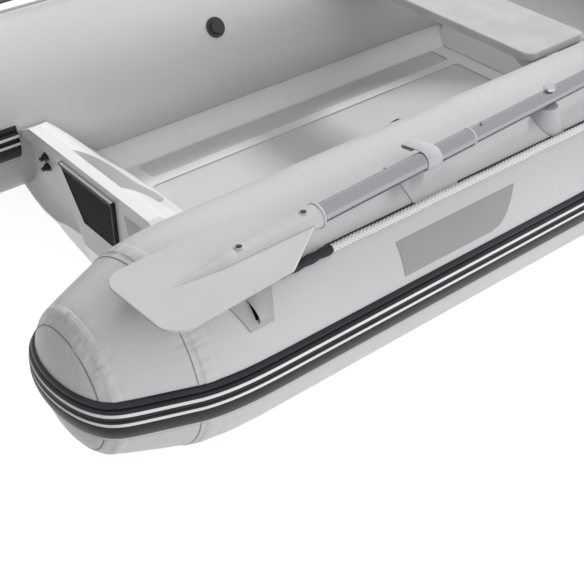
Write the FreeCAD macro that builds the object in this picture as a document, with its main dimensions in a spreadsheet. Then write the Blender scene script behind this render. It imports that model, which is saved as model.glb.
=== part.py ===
# Rigid-hull inflatable rowing dinghy with two oars stowed on its side tubes.
# Millimetres and degrees. +X is the bow, +Y is port and +Z is up.
# The origin lies amidships on the centreline, at the waterline.
import FreeCAD, Part
import Sketcher
import math
import os

Vec = FreeCAD.Vector
document = FreeCAD.newDocument("RowingDinghy")
sheet = document.addObject("Spreadsheet::Sheet", "Sizes")
made = []

# Driving sizes

SIZES = [
    ("tube_radius", 210, "side and bow tubes"),
    ("tube_offset", 523, "centreline to the axis of a side tube"),
    ("tube_height", 215, "waterline to the axis of a side tube"),
    ("joint_clearance", 0.3, "between a tube and what is bonded to it"),
    ("taper_start", -903, "where a side tube starts to narrow aft"),
    ("taper_power", 3.5, "how late the narrowing comes"),
    ("cone_seam", -1111, "seam between a side tube and its tail cone"),
    ("cone_seam_radius", 192, "tube radius at that seam"),
    ("cone_slope", 0.38, "fall of the cone's radius along its length"),
    ("cap_seam", -1267, "seam between a tail cone and its end cap"),
    ("shoulder_drop", 13.4, "rounding of the cone's shoulder at the cap"),
    ("shoulder_power", 10.5, "how late that rounding comes"),
    ("cone_swell", 1.06, "height over width of the cone at the cap"),
    ("tail_tip", -1300, "aft end of an end cap"),
    ("cap_length", 70, "half length of the ellipsoid that the cap is part of"),
    ("bow_start", 400, "where the side tubes start to curve in"),
    ("bow_reach", 690, "length of the curved tube axis"),
    ("bow_sheer", 100, "rise of the tube axis at the bow"),
    ("keel_depth", 87, "keel below the waterline at the transom"),
    ("keel_half_width", 14, "flat along the keel"),
    ("keel_rise_start", 150, "where the keel starts to rise"),
    ("keel_power", 2.4, "how late the keel rises"),
    ("stem_depth", 12, "height of the hull at its forward end"),
    ("chine_angle", 55.2, "below the tube axis, amidships"),
    ("stem_chine_angle", 77, "below the tube axis, at the stem"),
    ("skin_thickness", 3, "hull flange under a tube"),
    ("rail_inner", 222, "foot of the spray rail's inner face"),
    ("rail_inner_depth", 27, "that foot below the waterline"),
    ("rail_edge", 256, "edge of the spray rail"),
    ("rail_edge_depth", 9, "that edge below the waterline"),
    ("rail_outer", 320, "outer edge of the rail's flat"),
    ("rail_outer_depth", 5, "that edge below the waterline"),
    ("bilge_width", 366, "bilge corner between rail and chine"),
    ("bilge_height", 14, "that corner above the waterline"),
    ("transom_face", -902, "aft face of the transom at tube height"),
    ("transom_rake", 0.147, "lean of the transom, aft for each unit up"),
    ("transom_thickness", 28, "along the boat"),
    ("transom_top", 281, "top of the transom"),
    ("flange_half", 250, "half width of the flat top"),
    ("ear_half", 320, "half width where the ears meet the tubes"),
    ("ear_height", 243, "height of the ears there"),
    ("recess_depth", 20, "side recesses of the transom"),
    ("recess_top", 241, "top edge of the recesses"),
    ("recess_shoulder", 5, "rounding of that edge, downwards"),
    ("recess_reach", 430, "recesses run out under the tubes to here"),
    ("recess_reach_top", 140, "top of the recesses there"),
    ("recess_margin", 8, "slab left below the recesses, at their mouth"),
    ("scoop_foot", 60, "bottom of a recess at full depth, beside the box"),
    ("scoop_rise", 50, "how much higher it lies under the tube"),
    ("scoop_power", 1.8, "how late it rises"),
    ("box_top_half", 139, "half width of the central box, top"),
    ("box_foot_half", 120, "half width of the central box, foot"),
    ("recess_draft", 24, "slope of the recess's inboard wall, across"),
    ("pad_thickness", 8, "outboard motor pad"),
    ("pad_top", 256, "top edge of the aft pad"),
    ("pad_foot", 100, "lower edge of the aft pad"),
    ("pad_top_half", 114, "half width, top"),
    ("pad_foot_half", 72, "half width, foot"),
    ("pad_lip", 6, "height of the pad's top lip"),
    ("pad_lip_proud", 1.6, "top lip beyond the pad's face"),
    ("pad_bevel", 4, "bevel round the pad's face"),
    ("pad_margin", 9, "smooth border round the pad's gripping panel"),
    ("pad_panel_sink", 1.2, "depth of that panel"),
    ("bond_gap", 0.02, "between the motor pads and the transom"),
    ("inner_pad_top", 262, "top edge of the inner pad"),
    ("inner_pad_foot", 120, "lower edge of the inner pad"),
    ("inner_pad_half", 92, "half width of the inner pad"),
    ("inner_pad_thickness", 5, "inner pad"),
    ("floor_lift", 9.5, "cockpit floor above the chine"),
    ("floor_share", 0.8, "floor half width over the side lip's"),
    ("lip_angle", 36.8, "side lip below the tube axis"),
    ("panel_sink", 4, "depth of the non-slip panels"),
    ("side_panel_inner", 210, "side panel, inboard edge"),
    ("side_panel_outer", 284, "side panel, outboard edge"),
    ("side_panel_aft", -612, "side panel, aft end"),
    ("mid_panel_half", 178, "centre panel half width"),
    ("mid_panel_aft", -640, "centre panel, aft end"),
    ("panel_forward", 470, "forward end of the panels"),
    ("panel_corner", 14, "corner radius of the panels"),
    ("well_half", 105, "half width of the motor well"),
    ("ramp_foot", -648, "forward foot of the aft ramps"),
    ("liner_lap", 8, "liner's edge inside the line of the chine"),
    ("lip_lap", 10, "side lip's edge inside the tube's surface"),
    ("bow_step_start", 520, "foot of the bow step"),
    ("bow_step_run", 110, "length of the bow step's slope"),
    ("bow_step_top", 200, "top of the bow step"),
    ("strake_top", 47, "rub strake, above the tube axis"),
    ("strake_foot", 36, "rub strake, below the tube axis"),
    ("strake_proud", 11, "rub strake, thickness"),
    ("flange_lift", 6.5, "thickness of the strake's top flange"),
    ("flange_edge", 4.5, "thickness at that flange's edge"),
    ("flange_foot", 37, "lower edge of that flange above the tube axis"),
    ("band_top", 34, "top edge of the strake's ribbed band"),
    ("band_groove", 2.5, "strake under the groove above that band"),
    ("stripe_seat", 8, "strake under its stripes"),
    ("parting_depth", 4.5, "line between the two stripes, below the face"),
    ("parting_half", 0.7, "half width of that line"),
    ("foot_edge", 2.5, "thickness at the strake's foot"),
    ("foot_swell", 10.3, "thickness half way down its rounded foot"),
    ("strake_inboard_end", -914, "where it ends on the inboard side"),
    ("stripe_height", 7, "pale stripes"),
    ("upper_stripe", 24, "middle of the upper stripe above the tube axis"),
    ("lower_stripe", 4, "middle of the lower stripe above the tube axis"),
    ("stripe_face", 10.2, "outer face of the stripes, off the tube"),
    ("stripe_clearance", 0.15, "between a stripe and the sides of its groove"),
    ("rowlock_place", -120, "pin of the rowlock, along the boat"),
    ("rowlock_side", 613.9, "pin from the centreline"),
    ("oar_height", 450.7, "oar axis at the pin"),
    ("oar_yaw", 1.92, "oar axis, outboard going aft"),
    ("oar_pitch", 0.92, "oar axis, down going aft"),
    ("pin_radius", 6, "rowlock pin"),
    ("pin_clearance", 0.05, "pin in the loom"),
    ("pin_cap_radius", 13, "cap on the pin"),
    ("pin_cap_height", 8, "cap on the pin"),
    ("pin_cap_round", 3.2, "rounding of that cap"),
    ("pin_depth", 22, "pin inside its base"),
    ("base_foot", 157, "foot of the rowlock base, above the tube axis"),
    ("base_foot_radius", 48, "rowlock base"),
    ("base_top_radius", 24, "rowlock base"),
    ("base_gap", 1, "between rowlock base and loom"),
    ("shaft_radius", 19.5, "aft part of the oar's shaft"),
    ("shaft_wall", 1.5, "wall of the shaft"),
    ("loom_radius", 17.9, "forward part of the oar's shaft"),
    ("loom_wall", 1.6, "wall of the loom"),
    ("slip_clearance", 0.1, "between telescoping tubes"),
    ("end_clearance", 1, "between a tube's end and the bottom of its bore"),
    ("shaft_end", 248, "forward end of the shaft, aft of the pin"),
    ("loom_overlap", 60, "loom inside the shaft"),
    ("button_place", 215, "spring button, aft of the pin"),
    ("button_radius", 4, "spring button"),
    ("button_proud", 4, "spring button"),
    ("socket_mouth", 663, "mouth of the blade's socket, aft of the pin"),
    ("socket_depth", 70, "shaft inside the socket"),
    ("socket_radius", 24, "socket at its mouth"),
    ("socket_rim", 1.5, "rim round the socket's mouth"),
    ("socket_rim_length", 5, "rim, along the oar"),
    ("ridge_shoulder", 880, "where the socket turns into the ridge, aft of the pin"),
    ("ridge_shoulder_radius", 17, "radius there"),
    ("ridge_tip", 1015, "aft tip of the ridge, aft of the pin"),
    ("blade_tip", 1070, "aft end of the blade, aft of the pin"),
    ("blade_half", 106, "half width near the tip"),
    ("blade_shoulder_half", 99, "half width at the shoulder"),
    ("blade_shoulder", 806, "shoulder, aft of the pin"),
    ("blade_root", 682, "where the blade meets the socket, aft of the pin"),
    ("blade_root_half", 18, "half width there"),
    ("blade_thickness", 5, "blade"),
    ("blade_corner", 42, "tip corner radius"),
    ("blade_edge", 2, "rounding of the blade's edges"),
    ("handle_end", 380, "end of the grip, forward of the pin"),
    ("grip_length", 125, "grip"),
    ("grip_radius", 19.5, "waist of the grip"),
    ("grip_collar_radius", 21.5, "collar at the grip's aft end"),
    ("grip_collar_length", 10, "that collar"),
    ("grip_collar_taper", 12, "from that collar to the waist"),
    ("grip_knob_radius", 21, "knob at the grip's forward end"),
    ("grip_knob_start", 26, "where the knob begins, before the end"),
    ("grip_knob_length", 10, "full width of the knob, before the end"),
    ("grip_end_round", 3, "knob's rounded end"),
    ("grip_end_radius", 17, "flat of the knob's end"),
    ("grip_end_wall", 5, "closed end of the grip"),
    ("strap_place", -490, "middle of the oar strap"),
    ("strap_width", 42, "oar strap, along the boat"),
    ("strap_thickness", 2, "oar strap"),
    ("strap_tab", 44, "strap tab beyond the loop"),
    ("strap_clearance", 1, "between the strap and the shaft"),
    ("strap_patch_half", 62, "half length of the strap's patch"),
    ("strap_patch_foot_half", 46, "half length of its lower edge"),
    ("strap_patch_foot", 46, "that edge above the tube axis"),
    ("strap_patch_corner", 52, "its lower corners above the tube axis"),
    ("strap_patch_top", 78, "its upper edge above the tube axis"),
    ("patch_thickness", 2.4, "patches bonded to the tubes"),
    ("badge_thickness", 1.4, "bare badge patches"),
    ("badge_aft", -630, "bare badge patches, aft edge"),
    ("badge_forward", -296, "their forward corner"),
    ("badge_toe", -388, "where their curved nose meets the lower edge"),
    ("badge_top_angle", 37, "their upper edge above the tube axis"),
    ("badge_foot_angle", 17.7, "their lower edge above the tube axis"),
    ("rope_radius", 7, "lifeline"),
    ("rope_angle", 48.5, "lifeline above the tube axis, outboard"),
    ("rope_aft", -779, "aft end of the open lifeline"),
    ("rope_forward", 317, "forward end of the open lifeline"),
    ("sleeve_radius", 9.5, "sleeve on the lifeline"),
    ("sleeve_aft", -940, "aft end of the sleeve"),
    ("sleeve_rib", 1.2, "ribs of the sleeve"),
    ("sleeve_pitch", 9, "spacing of the ribs"),
    ("eye_radius", 13, "hood of a rope eye"),
    ("eye_length", 46, "hood of a rope eye, along the boat"),
    ("eye_bore", 10, "mouth of the hood"),
    ("eye_bore_depth", 20, "mouth of the hood"),
    ("eye_patch_half", 49, "half length of an eye's patch"),
    ("eye_patch_flat", 26, "half length of the patch's straight edges"),
    ("eye_patch_tip_drop", 2.5, "patch's tips below the rope"),
    ("eye_patch_below", 19.5, "patch's lower edge below the rope"),
    ("eye_patch_above", 14.5, "patch's upper edge above the rope"),
    ("eye_aft_place", -968, "aft rope eye"),
    ("eye_forward_place", 345, "forward rope eye"),
    ("seat_middle", 215, "middle of the thwart, along the boat"),
    ("seat_width", 210, "thwart, along the boat"),
    ("seat_end_clearance", 3, "between the thwart's ends and the tubes"),
    ("seat_thickness", 22, "thwart"),
    ("seat_height", 364, "underside of the thwart"),
    ("seat_corner", 24, "corners of the thwart"),
    ("seat_edge", 5, "rounding of the thwart's edges"),
    ("saddle_width", 60, "seat saddles, along the boat"),
    ("saddle_spacing", 130, "between the saddles of one side"),
    ("saddle_shelf", 52, "seat saddles, across the boat"),
    ("saddle_drop", 44, "depth of a saddle below the thwart"),
    ("saddle_lap", 20, "saddle inside the tube's line, before it is cut to fit"),
    ("saddle_edge", 8, "thickness of a saddle's inboard edge"),
    ("handle_span", 170, "bow handle"),
    ("handle_rise", 42, "bow handle above the tube"),
    ("handle_wire", 9, "bow handle, half thickness"),
    ("handle_bend", 30, "bends of the bow handle"),
    ("handle_foot_radius", 26, "its feet"),
    ("handle_foot_rise", 4, "its feet above the tube's top"),
    ("valve_place", -300, "air valves of the side tubes, along the boat"),
    ("valve_angle", 32, "air valves above the tube axis, inboard"),
    ("valve_radius", 27, "air valve flange"),
    ("valve_cap_radius", 19, "air valve cap"),
    ("valve_rise", 11, "air valve"),
    ("valve_flange", 4, "air valve flange beyond the tube"),
    ("valve_seat", 10, "air valve flange, sunk where the tube is round"),
    ("valve_cap_draft", 2, "taper of the valve cap"),
    ("tow_place", 905, "towing eye, along the boat"),
    ("tow_hole", 8, "hole of the towing eye, radius"),
    ("tow_radius", 17, "towing eye"),
    ("tow_thickness", 9, "towing eye"),
    ("tow_wall", 9, "between the eye's hole and the hull"),
    ("tow_web_half", 22, "half length of the eye's web"),
    ("tow_web_lap", 10, "web above the keel line, before it is cut to fit"),
]

for row, (alias, value, note) in enumerate(SIZES, start=1):
    sheet.set(f"A{row}", alias.replace("_", " "))
    sheet.set(f"B{row}", str(value))
    sheet.setAlias(f"B{row}", alias)
    sheet.set(f"C{row}", note)
document.recompute()


def size(alias):
    return float(getattr(sheet, alias))


# Values that several pieces share

R = size("tube_radius")
OFFSET = size("tube_offset")
HEIGHT = size("tube_height")
GAP = size("joint_clearance")
BOW_START = size("bow_start")
RAKE = size("transom_rake")
FACE = size("transom_face")
FAR = 2000.0
# how far a blank runs past the face or tube that trims it
SPARE = 60.0


def sine(degrees):
    return math.sin(math.radians(degrees))


def cosine(degrees):
    return math.cos(math.radians(degrees))


# Keeping and mirroring sub-parts

def keep(item, label):
    item.Label = label
    made.append(item)
    return item


def feature(label, shape):
    item = document.addObject("Part::Feature", label)
    item.Shape = shape
    return keep(item, label)


def mirrored(shape):
    return shape.mirror(Vec(0, 0, 0), Vec(0, 1, 0))


def both_sides(name, starboard_shape):
    feature(f"starboard_{name}", starboard_shape)
    feature(f"port_{name}", mirrored(starboard_shape))


def prism(points, along):
    return Part.Face(Part.makePolygon(points + [points[0]])).extrude(along)


def block(low, high):
    span = high - low
    return Part.makeBox(span.x, span.y, span.z, low)


# Parametric bodies: sketches whose corners follow the sheet

def new_body(label):
    body = document.addObject("PartDesign::Body", label)
    return keep(body, label)


def new_sketch(body, name, role):
    sketch = body.newObject("Sketcher::SketchObject", name)
    planes = [item for item in body.Origin.OriginFeatures if item.Role == role]
    sketch.AttachmentSupport = (planes[0], [""])
    sketch.MapMode = "FlatFace"
    return sketch


def draw_outline(sketch, corners):
    points = [Vec(float(sketch.evalExpression(across)), float(sketch.evalExpression(up)), 0)
              for across, up in corners]
    count = len(points)
    for index in range(count):
        sketch.addGeometry(Part.LineSegment(points[index], points[(index + 1) % count]), False)
    for index in range(count):
        sketch.addConstraint(Sketcher.Constraint("Coincident", index, 2, (index + 1) % count, 1))
    for index, (across, up) in enumerate(corners):
        pin_corner(sketch, index, "DistanceX", across, points[index].x, -2)
        pin_corner(sketch, index, "DistanceY", up, points[index].y, -1)


def pin_corner(sketch, index, kind, formula, value, axis):
    if formula == "0":
        sketch.addConstraint(Sketcher.Constraint("PointOnObject", index, 1, axis))
        return
    number = sketch.addConstraint(Sketcher.Constraint(kind, -1, 1, index, 1, value))
    sketch.setExpression(f"Constraints[{number}]", formula)


def pad(body, sketch, name, length, symmetric=False):
    item = body.newObject("PartDesign::Pad", name)
    item.Profile = sketch
    item.setExpression("Length", length)
    if symmetric:
        item.Midplane = True
    return item


def revolve(body, sketch, name, axis="H_Axis"):
    item = body.newObject("PartDesign::Revolution", name)
    item.Profile = sketch
    item.ReferenceAxis = (sketch, [axis])
    item.Angle = 360
    return item


def round_edges(body, base, name, radius, chosen):
    document.recompute()
    names = [f"Edge{number}" for number, edge in enumerate(base.Shape.Edges, start=1) if chosen(edge)]
    item = body.newObject("PartDesign::Fillet", name)
    item.Base = (base, names)
    item.setExpression("Radius", radius)
    return item


def is_upright(edge):
    ends = [vertex.Point for vertex in edge.Vertexes]
    return len(ends) == 2 and abs((ends[1] - ends[0]).normalize().z) > 0.99


# Tubes: path of the bow tube, with its outward and upward directions

def bow_path(turn):
    centre = Vec(BOW_START + size("bow_reach") * sine(turn), OFFSET * cosine(turn),
                 HEIGHT + size("bow_sheer") * sine(turn) ** 2)
    forward = Vec(size("bow_reach") * cosine(turn), -OFFSET * sine(turn),
                  2 * size("bow_sheer") * sine(turn) * cosine(turn)).normalize()
    outward = Vec(0, 0, 1).cross(forward).normalize()
    upward = forward.cross(outward)
    return centre, forward, outward, upward


def bow_section(turn, edges):
    centre, forward, outward, upward = bow_path(turn)
    wire = Part.Wire(edges)
    wire.Placement = FreeCAD.Placement(centre, FreeCAD.Rotation(outward, upward, forward, "ZXY"))
    return wire


BOW_TURNS = [15.0 * step for step in range(13)]


def bow_tube(extra):
    circle = Part.makeCircle(R + extra)
    return Part.makeLoft([bow_section(turn, [circle]) for turn in BOW_TURNS], True, False)


def across_bow_tube(up, lift):
    # a point drawn across the tube, lifted straight out from its surface
    return Vec(math.sqrt(R ** 2 - up ** 2) + lift, up, 0)


def bow_band(section):
    edges = section(across_bow_tube)
    return Part.makeLoft([bow_section(turn, edges) for turn in BOW_TURNS], True, False)


# Side tube, tail cone and end cap, starboard, each swollen by an extra radius

def taper_radius(place):
    run = (size("taper_start") - place) / (size("taper_start") - size("cone_seam"))
    return R - (R - size("cone_seam_radius")) * max(run, 0) ** size("taper_power")


def cone_radius(place):
    depth = size("cone_seam") - place
    share = depth / (size("cone_seam") - size("cap_seam"))
    rounding = size("shoulder_drop") * share ** size("shoulder_power")
    return size("cone_seam_radius") - size("cone_slope") * depth - rounding


def stations(first, last, count, late=1.0):
    # evenly spaced, or closer together towards the last one where late is above 1
    return [last + (first - last) * (1 - step / (count - 1)) ** late for step in range(count)]


def side_tube(extra):
    curve = Part.BSplineCurve()
    curve.interpolate([Vec(place, 0, taper_radius(place) + extra)
                       for place in stations(size("taper_start"), size("cone_seam"), 6)])
    aft = size("cone_seam")
    start = size("taper_start")
    seam = size("cone_seam_radius") + extra
    outline = Part.Wire([Part.LineSegment(Vec(BOW_START, 0, 0), Vec(BOW_START, 0, R + extra)).toShape(),
                         Part.LineSegment(Vec(BOW_START, 0, R + extra), Vec(start, 0, R + extra)).toShape(),
                         curve.toShape(),
                         Part.LineSegment(Vec(aft, 0, seam), Vec(aft, 0, 0)).toShape(),
                         Part.LineSegment(Vec(aft, 0, 0), Vec(BOW_START, 0, 0)).toShape()])
    shape = Part.Face(outline).revolve(Vec(0, 0, 0), Vec(1, 0, 0), 360)
    shape.translate(Vec(0, -OFFSET, HEIGHT))
    return shape


# keeps an ellipse's rise above its radius where the cone is round
ROUND_MARGIN = 0.01


def tail_ellipse(place, radius, rise):
    centre = Vec(place, -OFFSET, HEIGHT)
    ellipse = Part.Ellipse(centre + Vec(0, 0, rise), centre + Vec(0, radius, 0), centre)
    return Part.Wire([ellipse.toShape()])


def tail_cone(extra):
    wires = []
    for place in stations(size("cone_seam"), size("cap_seam"), 9):
        share = (size("cone_seam") - place) / (size("cone_seam") - size("cap_seam"))
        swell = 1 + (size("cone_swell") - 1) * share
        radius = cone_radius(place) + extra
        wires.append(tail_ellipse(place, radius, radius * swell + ROUND_MARGIN))
    return Part.makeLoft(wires, True, False)


def end_cap(extra):
    half_length = size("cap_length")
    centre = size("tail_tip") + half_length
    share = (size("cap_seam") - centre) / half_length
    across = (cone_radius(size("cap_seam")) + extra) / math.sqrt(1 - share ** 2)
    scale = FreeCAD.Matrix()
    scale.scale(Vec(half_length + extra, across, across * size("cone_swell")))
    ball = Part.makeSphere(1.0).transformGeometry(scale)
    ball.translate(Vec(centre, -OFFSET, HEIGHT))
    seam = size("cap_seam")
    return ball.common(block(Vec(-FAR, -FAR, -FAR), Vec(seam, FAR, FAR)))


def trim_to_tubes(shape):
    starboard = side_tube(GAP)
    return shape.cut(starboard).cut(mirrored(starboard)).cut(bow_tube(GAP))


def build_tubes():
    both_sides("side_tube", side_tube(0))
    both_sides("tail_cone", tail_cone(0))
    both_sides("end_cap", end_cap(0))
    feature("bow_tube", bow_tube(0))


# Rub strake round the outside of all the tubes, with two pale stripes

def tail_half_width(place):
    # half width of the tube's plan outline at its mid height
    if place >= size("cone_seam"):
        return taper_radius(place)
    return cone_radius(place)


def tail_swell(place):
    share = (size("cone_seam") - place) / (size("cone_seam") - size("cap_seam"))
    return 1 + (size("cone_swell") - 1) * min(max(share, 0), 1)


def cap_axes():
    centre = size("tail_tip") + size("cap_length")
    share = (size("cap_seam") - centre) / size("cap_length")
    return centre, cone_radius(size("cap_seam")) / math.sqrt(1 - share ** 2)


def outside(place, across, up):
    # above zero outside the tail of a tube, below zero inside
    if place >= size("cap_seam"):
        return across ** 2 + (up / tail_swell(place)) ** 2 - tail_half_width(place) ** 2
    centre, half = cap_axes()
    reach = (place - centre) / size("cap_length")
    return reach ** 2 + (across / half) ** 2 + (up / (half * size("cone_swell"))) ** 2 - 1


def sink_depth(point, normal, up):
    # how far in from the plan outline the tube's surface lies at this height
    near, deep = 0.0, 40.0
    for step in range(40):
        middle = (near + deep) / 2
        probe = point - normal * middle
        if outside(probe.x, probe.y, up) > 0:
            near = middle
        else:
            deep = middle
    return near


def side_outline():
    # plan outline of the starboard tube, aft along its outboard side, round the tip and back inboard
    centre, half = cap_axes()
    seam_angle = math.degrees(math.asin((centre - size("cap_seam")) / size("cap_length")))
    side = [Vec(BOW_START, R, 0)]
    side += [Vec(place, tail_half_width(place), 0)
             for place in stations(size("taper_start"), size("cone_seam"), 12, 1.3)]
    side += [Vec(place, tail_half_width(place), 0)
             for place in stations(size("cone_seam"), size("cap_seam"), 16, 1.8)[1:]]
    side += [Vec(centre - size("cap_length") * sine(angle), half * cosine(angle), 0)
             for angle in stations(seam_angle, 90, 9)[1:-1]]
    tip = Vec(centre - size("cap_length"), 0, 0)
    inboard = [Vec(point.x, -point.y, 0) for point in reversed(side)]
    inboard = [point for point in inboard if point.x < size("strake_inboard_end") - 20]
    end = size("strake_inboard_end")
    return side + [tip] + inboard + [Vec(end, -tail_half_width(end), 0)]


def bonded_edge(at, low, high, lift):
    # the face that lies on the tube, round it between two heights
    return Part.Arc(at(low, lift), at((low + high) / 2, lift), at(high, lift)).toShape()


def joined(points):
    return [Part.LineSegment(first, second).toShape() for first, second in zip(points, points[1:])]


def strake_section(at):
    # flange, ribbed band with a groove for each stripe, and rounded foot; heights and lifts off the tube
    low = -size("strake_foot")
    high = size("strake_top")
    seat = size("stripe_seat")
    face = size("strake_proud")
    half = size("stripe_height") / 2
    parting = (size("upper_stripe") + size("lower_stripe")) / 2
    points = [(high, 2 * GAP), (high, size("flange_edge")), (size("flange_foot"), size("flange_lift")),
              ((size("flange_foot") + size("band_top")) / 2, size("band_groove")),
              (size("band_top"), seat), (size("upper_stripe") + half, face),
              (size("upper_stripe") + half, seat), (size("upper_stripe") - half, seat),
              (size("upper_stripe") - half, face), (parting + size("parting_half"), face),
              (parting, face - size("parting_depth")), (parting - size("parting_half"), face),
              (size("lower_stripe") + half, face), (size("lower_stripe") + half, seat),
              (size("lower_stripe") - half, seat), (size("lower_stripe") - half, face)]
    outer = joined([at(up, lift) for up, lift in points])
    middle = (low + size("lower_stripe") - half) / 2
    foot = Part.Arc(at(*points[-1]), at(middle, size("foot_swell")), at(low, size("foot_edge"))).toShape()
    edge = Part.LineSegment(at(low, size("foot_edge")), at(low, 2 * GAP)).toShape()
    return outer + [foot, edge, bonded_edge(at, low, high, 2 * GAP)]


def stripe_section(middle):
    half = size("stripe_height") / 2 - size("stripe_clearance")
    inner = size("stripe_seat") + GAP

    def section(at):
        low = middle - half
        high = middle + half
        outer = size("stripe_face")
        corners = [at(high, inner), at(high, outer), at(low, outer), at(low, inner)]
        return joined(corners) + [bonded_edge(at, low, high, inner)]

    return section


def band_wire(point, normal, section):
    # the section set on the tube at one point of its plan outline
    def at(up, lift):
        place = point + normal * (lift - sink_depth(point, normal, up))
        return Vec(place.x, -OFFSET - place.y, HEIGHT + up)

    return Part.Wire(section(at))


def side_band(section):
    points = side_outline()
    wires = [band_wire(points[0], Vec(0, 1, 0), section)]
    for index in range(1, len(points)):
        along = (points[min(index + 1, len(points) - 1)] - points[index - 1]).normalize()
        wires.append(band_wire(points[index], Vec(along.y, -along.x, 0), section))
    return Part.makeLoft(wires, True, True)


def build_strakes():
    both_sides("rub_strake", side_band(strake_section))
    feature("bow_rub_strake", bow_band(strake_section))
    stripes = [stripe_section(size("upper_stripe")), stripe_section(size("lower_stripe"))]
    both_sides("strake_stripes", Part.makeCompound([side_band(stripe) for stripe in stripes]))
    feature("bow_strake_stripes", Part.makeCompound([bow_band(stripe) for stripe in stripes]))


# Hull: one section amidships, lofted to the stem

def chine_point(turn, radius):
    centre, forward, outward, upward = bow_path(turn)
    spread = size("stem_chine_angle") - size("chine_angle")
    angle = size("chine_angle") + spread * sine(turn) ** 2
    return centre - outward * (radius * cosine(angle)) - upward * (radius * sine(angle))


def lip_point(turn, radius):
    centre, forward, outward, upward = bow_path(turn)
    angle = size("lip_angle")
    return centre - outward * (radius * cosine(angle)) - upward * (radius * sine(angle))


HULL_TURNS = [0.0, 12.0, 24.0, 36.0, 48.0, 60.0, 70.0, 78.0, 84.0, 87.0]
STEM = chine_point(HULL_TURNS[-1], R + size("skin_thickness"))


def keel_height(place):
    start = size("keel_rise_start")
    share = max(place - start, 0) / (STEM.x - start)
    rise = STEM.z - size("stem_depth") + size("keel_depth")
    return -size("keel_depth") + rise * share ** size("keel_power")


def mirrored_outline(place, half):
    # half runs from the keel outwards and up, as pairs across and up
    port = [Vec(place, across, up) for across, up in half]
    starboard = [Vec(place, -across, up) for across, up in reversed(half)]
    return port + starboard


def hull_half(place, chine):
    midship = chine_point(0, R + size("skin_thickness"))
    depth = size("keel_depth")
    span = midship.z + depth
    keel = keel_height(place)
    corners = [("rail_inner", -size("rail_inner_depth")), ("rail_edge", -size("rail_edge_depth")),
               ("rail_outer", -size("rail_outer_depth")), ("bilge_width", size("bilge_height"))]
    flat = min(size("keel_half_width"), chine.y * 0.4)
    half = [(flat, keel)]
    for name, height in corners:
        across = flat + (size(name) - size("keel_half_width")) * (chine.y - flat) / (
            midship.y - size("keel_half_width"))
        half.append((across, keel + (height + depth) / span * (chine.z - keel)))
    half.append((chine.y, chine.z))
    return half


def hull_stations():
    # pairs of a place along the boat and the chine point there
    midship = chine_point(0, R + size("skin_thickness"))
    early = [size("keel_rise_start"), (size("keel_rise_start") + midship.x) / 2]
    rows = [(place, midship, 0.0) for place in early]
    for turn in HULL_TURNS:
        chine = chine_point(turn, R + size("skin_thickness"))
        rows.append((chine.x, chine, turn))
    return rows


def closed_wire(points):
    return Part.makePolygon(points + [points[0]])


def hull_block():
    rows = hull_stations()
    wires = [closed_wire(mirrored_outline(place, hull_half(place, chine))) for place, chine, turn in rows]
    forward = Part.makeLoft(wires, True, False)
    place, chine, turn = rows[0]
    aft = prism(mirrored_outline(FACE - SPARE, hull_half(place, chine)), Vec(place - FACE + SPARE, 0, 0))
    return aft.fuse(forward)


def behind_transom(depth):
    # everything aft of a raked plane that lies a depth ahead of the transom's aft face
    def at(height):
        return Vec(FACE + depth - RAKE * (height - HEIGHT), -FAR / 2, height)

    return prism([at(-FAR), at(FAR), Vec(-FAR, -FAR / 2, FAR), Vec(-FAR, -FAR / 2, -FAR)], Vec(0, FAR, 0))


def build_hull():
    whole = trim_to_tubes(hull_block())
    feature("hull_bottom", whole.cut(behind_transom(size("transom_thickness") + GAP)))
    return whole


# Cockpit liner: floor, side lips, aft ramps, sunk panels and bow step

def liner_outline(place, turn, chine):
    inner = chine_point(turn, R - size("liner_lap"))
    lip = lip_point(turn, R - size("lip_lap"))
    floor = chine.z + size("floor_lift")
    return mirrored_outline(place, [(chine.y, chine.z), (inner.y, inner.z), (lip.y, lip.z),
                                    (lip.y * size("floor_share"), floor)])


def liner_slab():
    rows = hull_stations()
    wires = [closed_wire(liner_outline(place, turn, chine)) for place, chine, turn in rows]
    forward = Part.makeLoft(wires, True, False)
    place, chine, turn = rows[0]
    aft = prism(liner_outline(FACE - SPARE, turn, chine), Vec(place - FACE + SPARE, 0, 0))
    return aft.fuse(forward)


# shape of the aft ramps: shares of their run and of their rise
RAMP_SHAPE = [(0.713, 0.782), (0.463, 0.506), (0.293, 0.310), (0.123, 0.148)]


def ramp_block():
    # ramp on each side of the motor well, from the floor up to the transom's top
    top = size("transom_top")
    edge = FACE + size("transom_thickness") - RAKE * (top - HEIGHT)
    start = size("ramp_foot")
    floor = chine_point(0, R).z + size("floor_lift")
    curve = Part.BSplineCurve()
    curve.interpolate([Vec(edge, 0, top)]
                      + [Vec(start + (edge - start) * run, 0, floor + (top - floor) * rise)
                         for run, rise in RAMP_SHAPE]
                      + [Vec(start, 0, floor)])
    low = floor - size("floor_lift") / 2
    sides = joined([Vec(start, 0, floor), Vec(start, 0, low), Vec(FACE - SPARE, 0, low),
                    Vec(FACE - SPARE, 0, top), Vec(edge, 0, top)])
    inner = size("well_half")
    outer = OFFSET - R / 2
    ramp = Part.Face(Part.Wire([curve.toShape()] + sides)).extrude(Vec(0, outer - inner, 0))
    ramp.translate(Vec(0, inner, 0))
    return ramp.cut(ear_cutter())


def ear_cutter():
    # slopes the outer ends of transom and ramps down to the tube
    flat = size("flange_half")
    edge = size("ear_half")
    top = size("transom_top")
    slope = (top - size("ear_height")) / (edge - flat)
    aft = FACE - SPARE
    points = [Vec(aft, flat, top), Vec(aft, flat + R, top - slope * R), Vec(aft, flat + R, top + R)]
    return prism(points, Vec(size("ramp_foot") - aft + SPARE, 0, 0))


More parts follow.
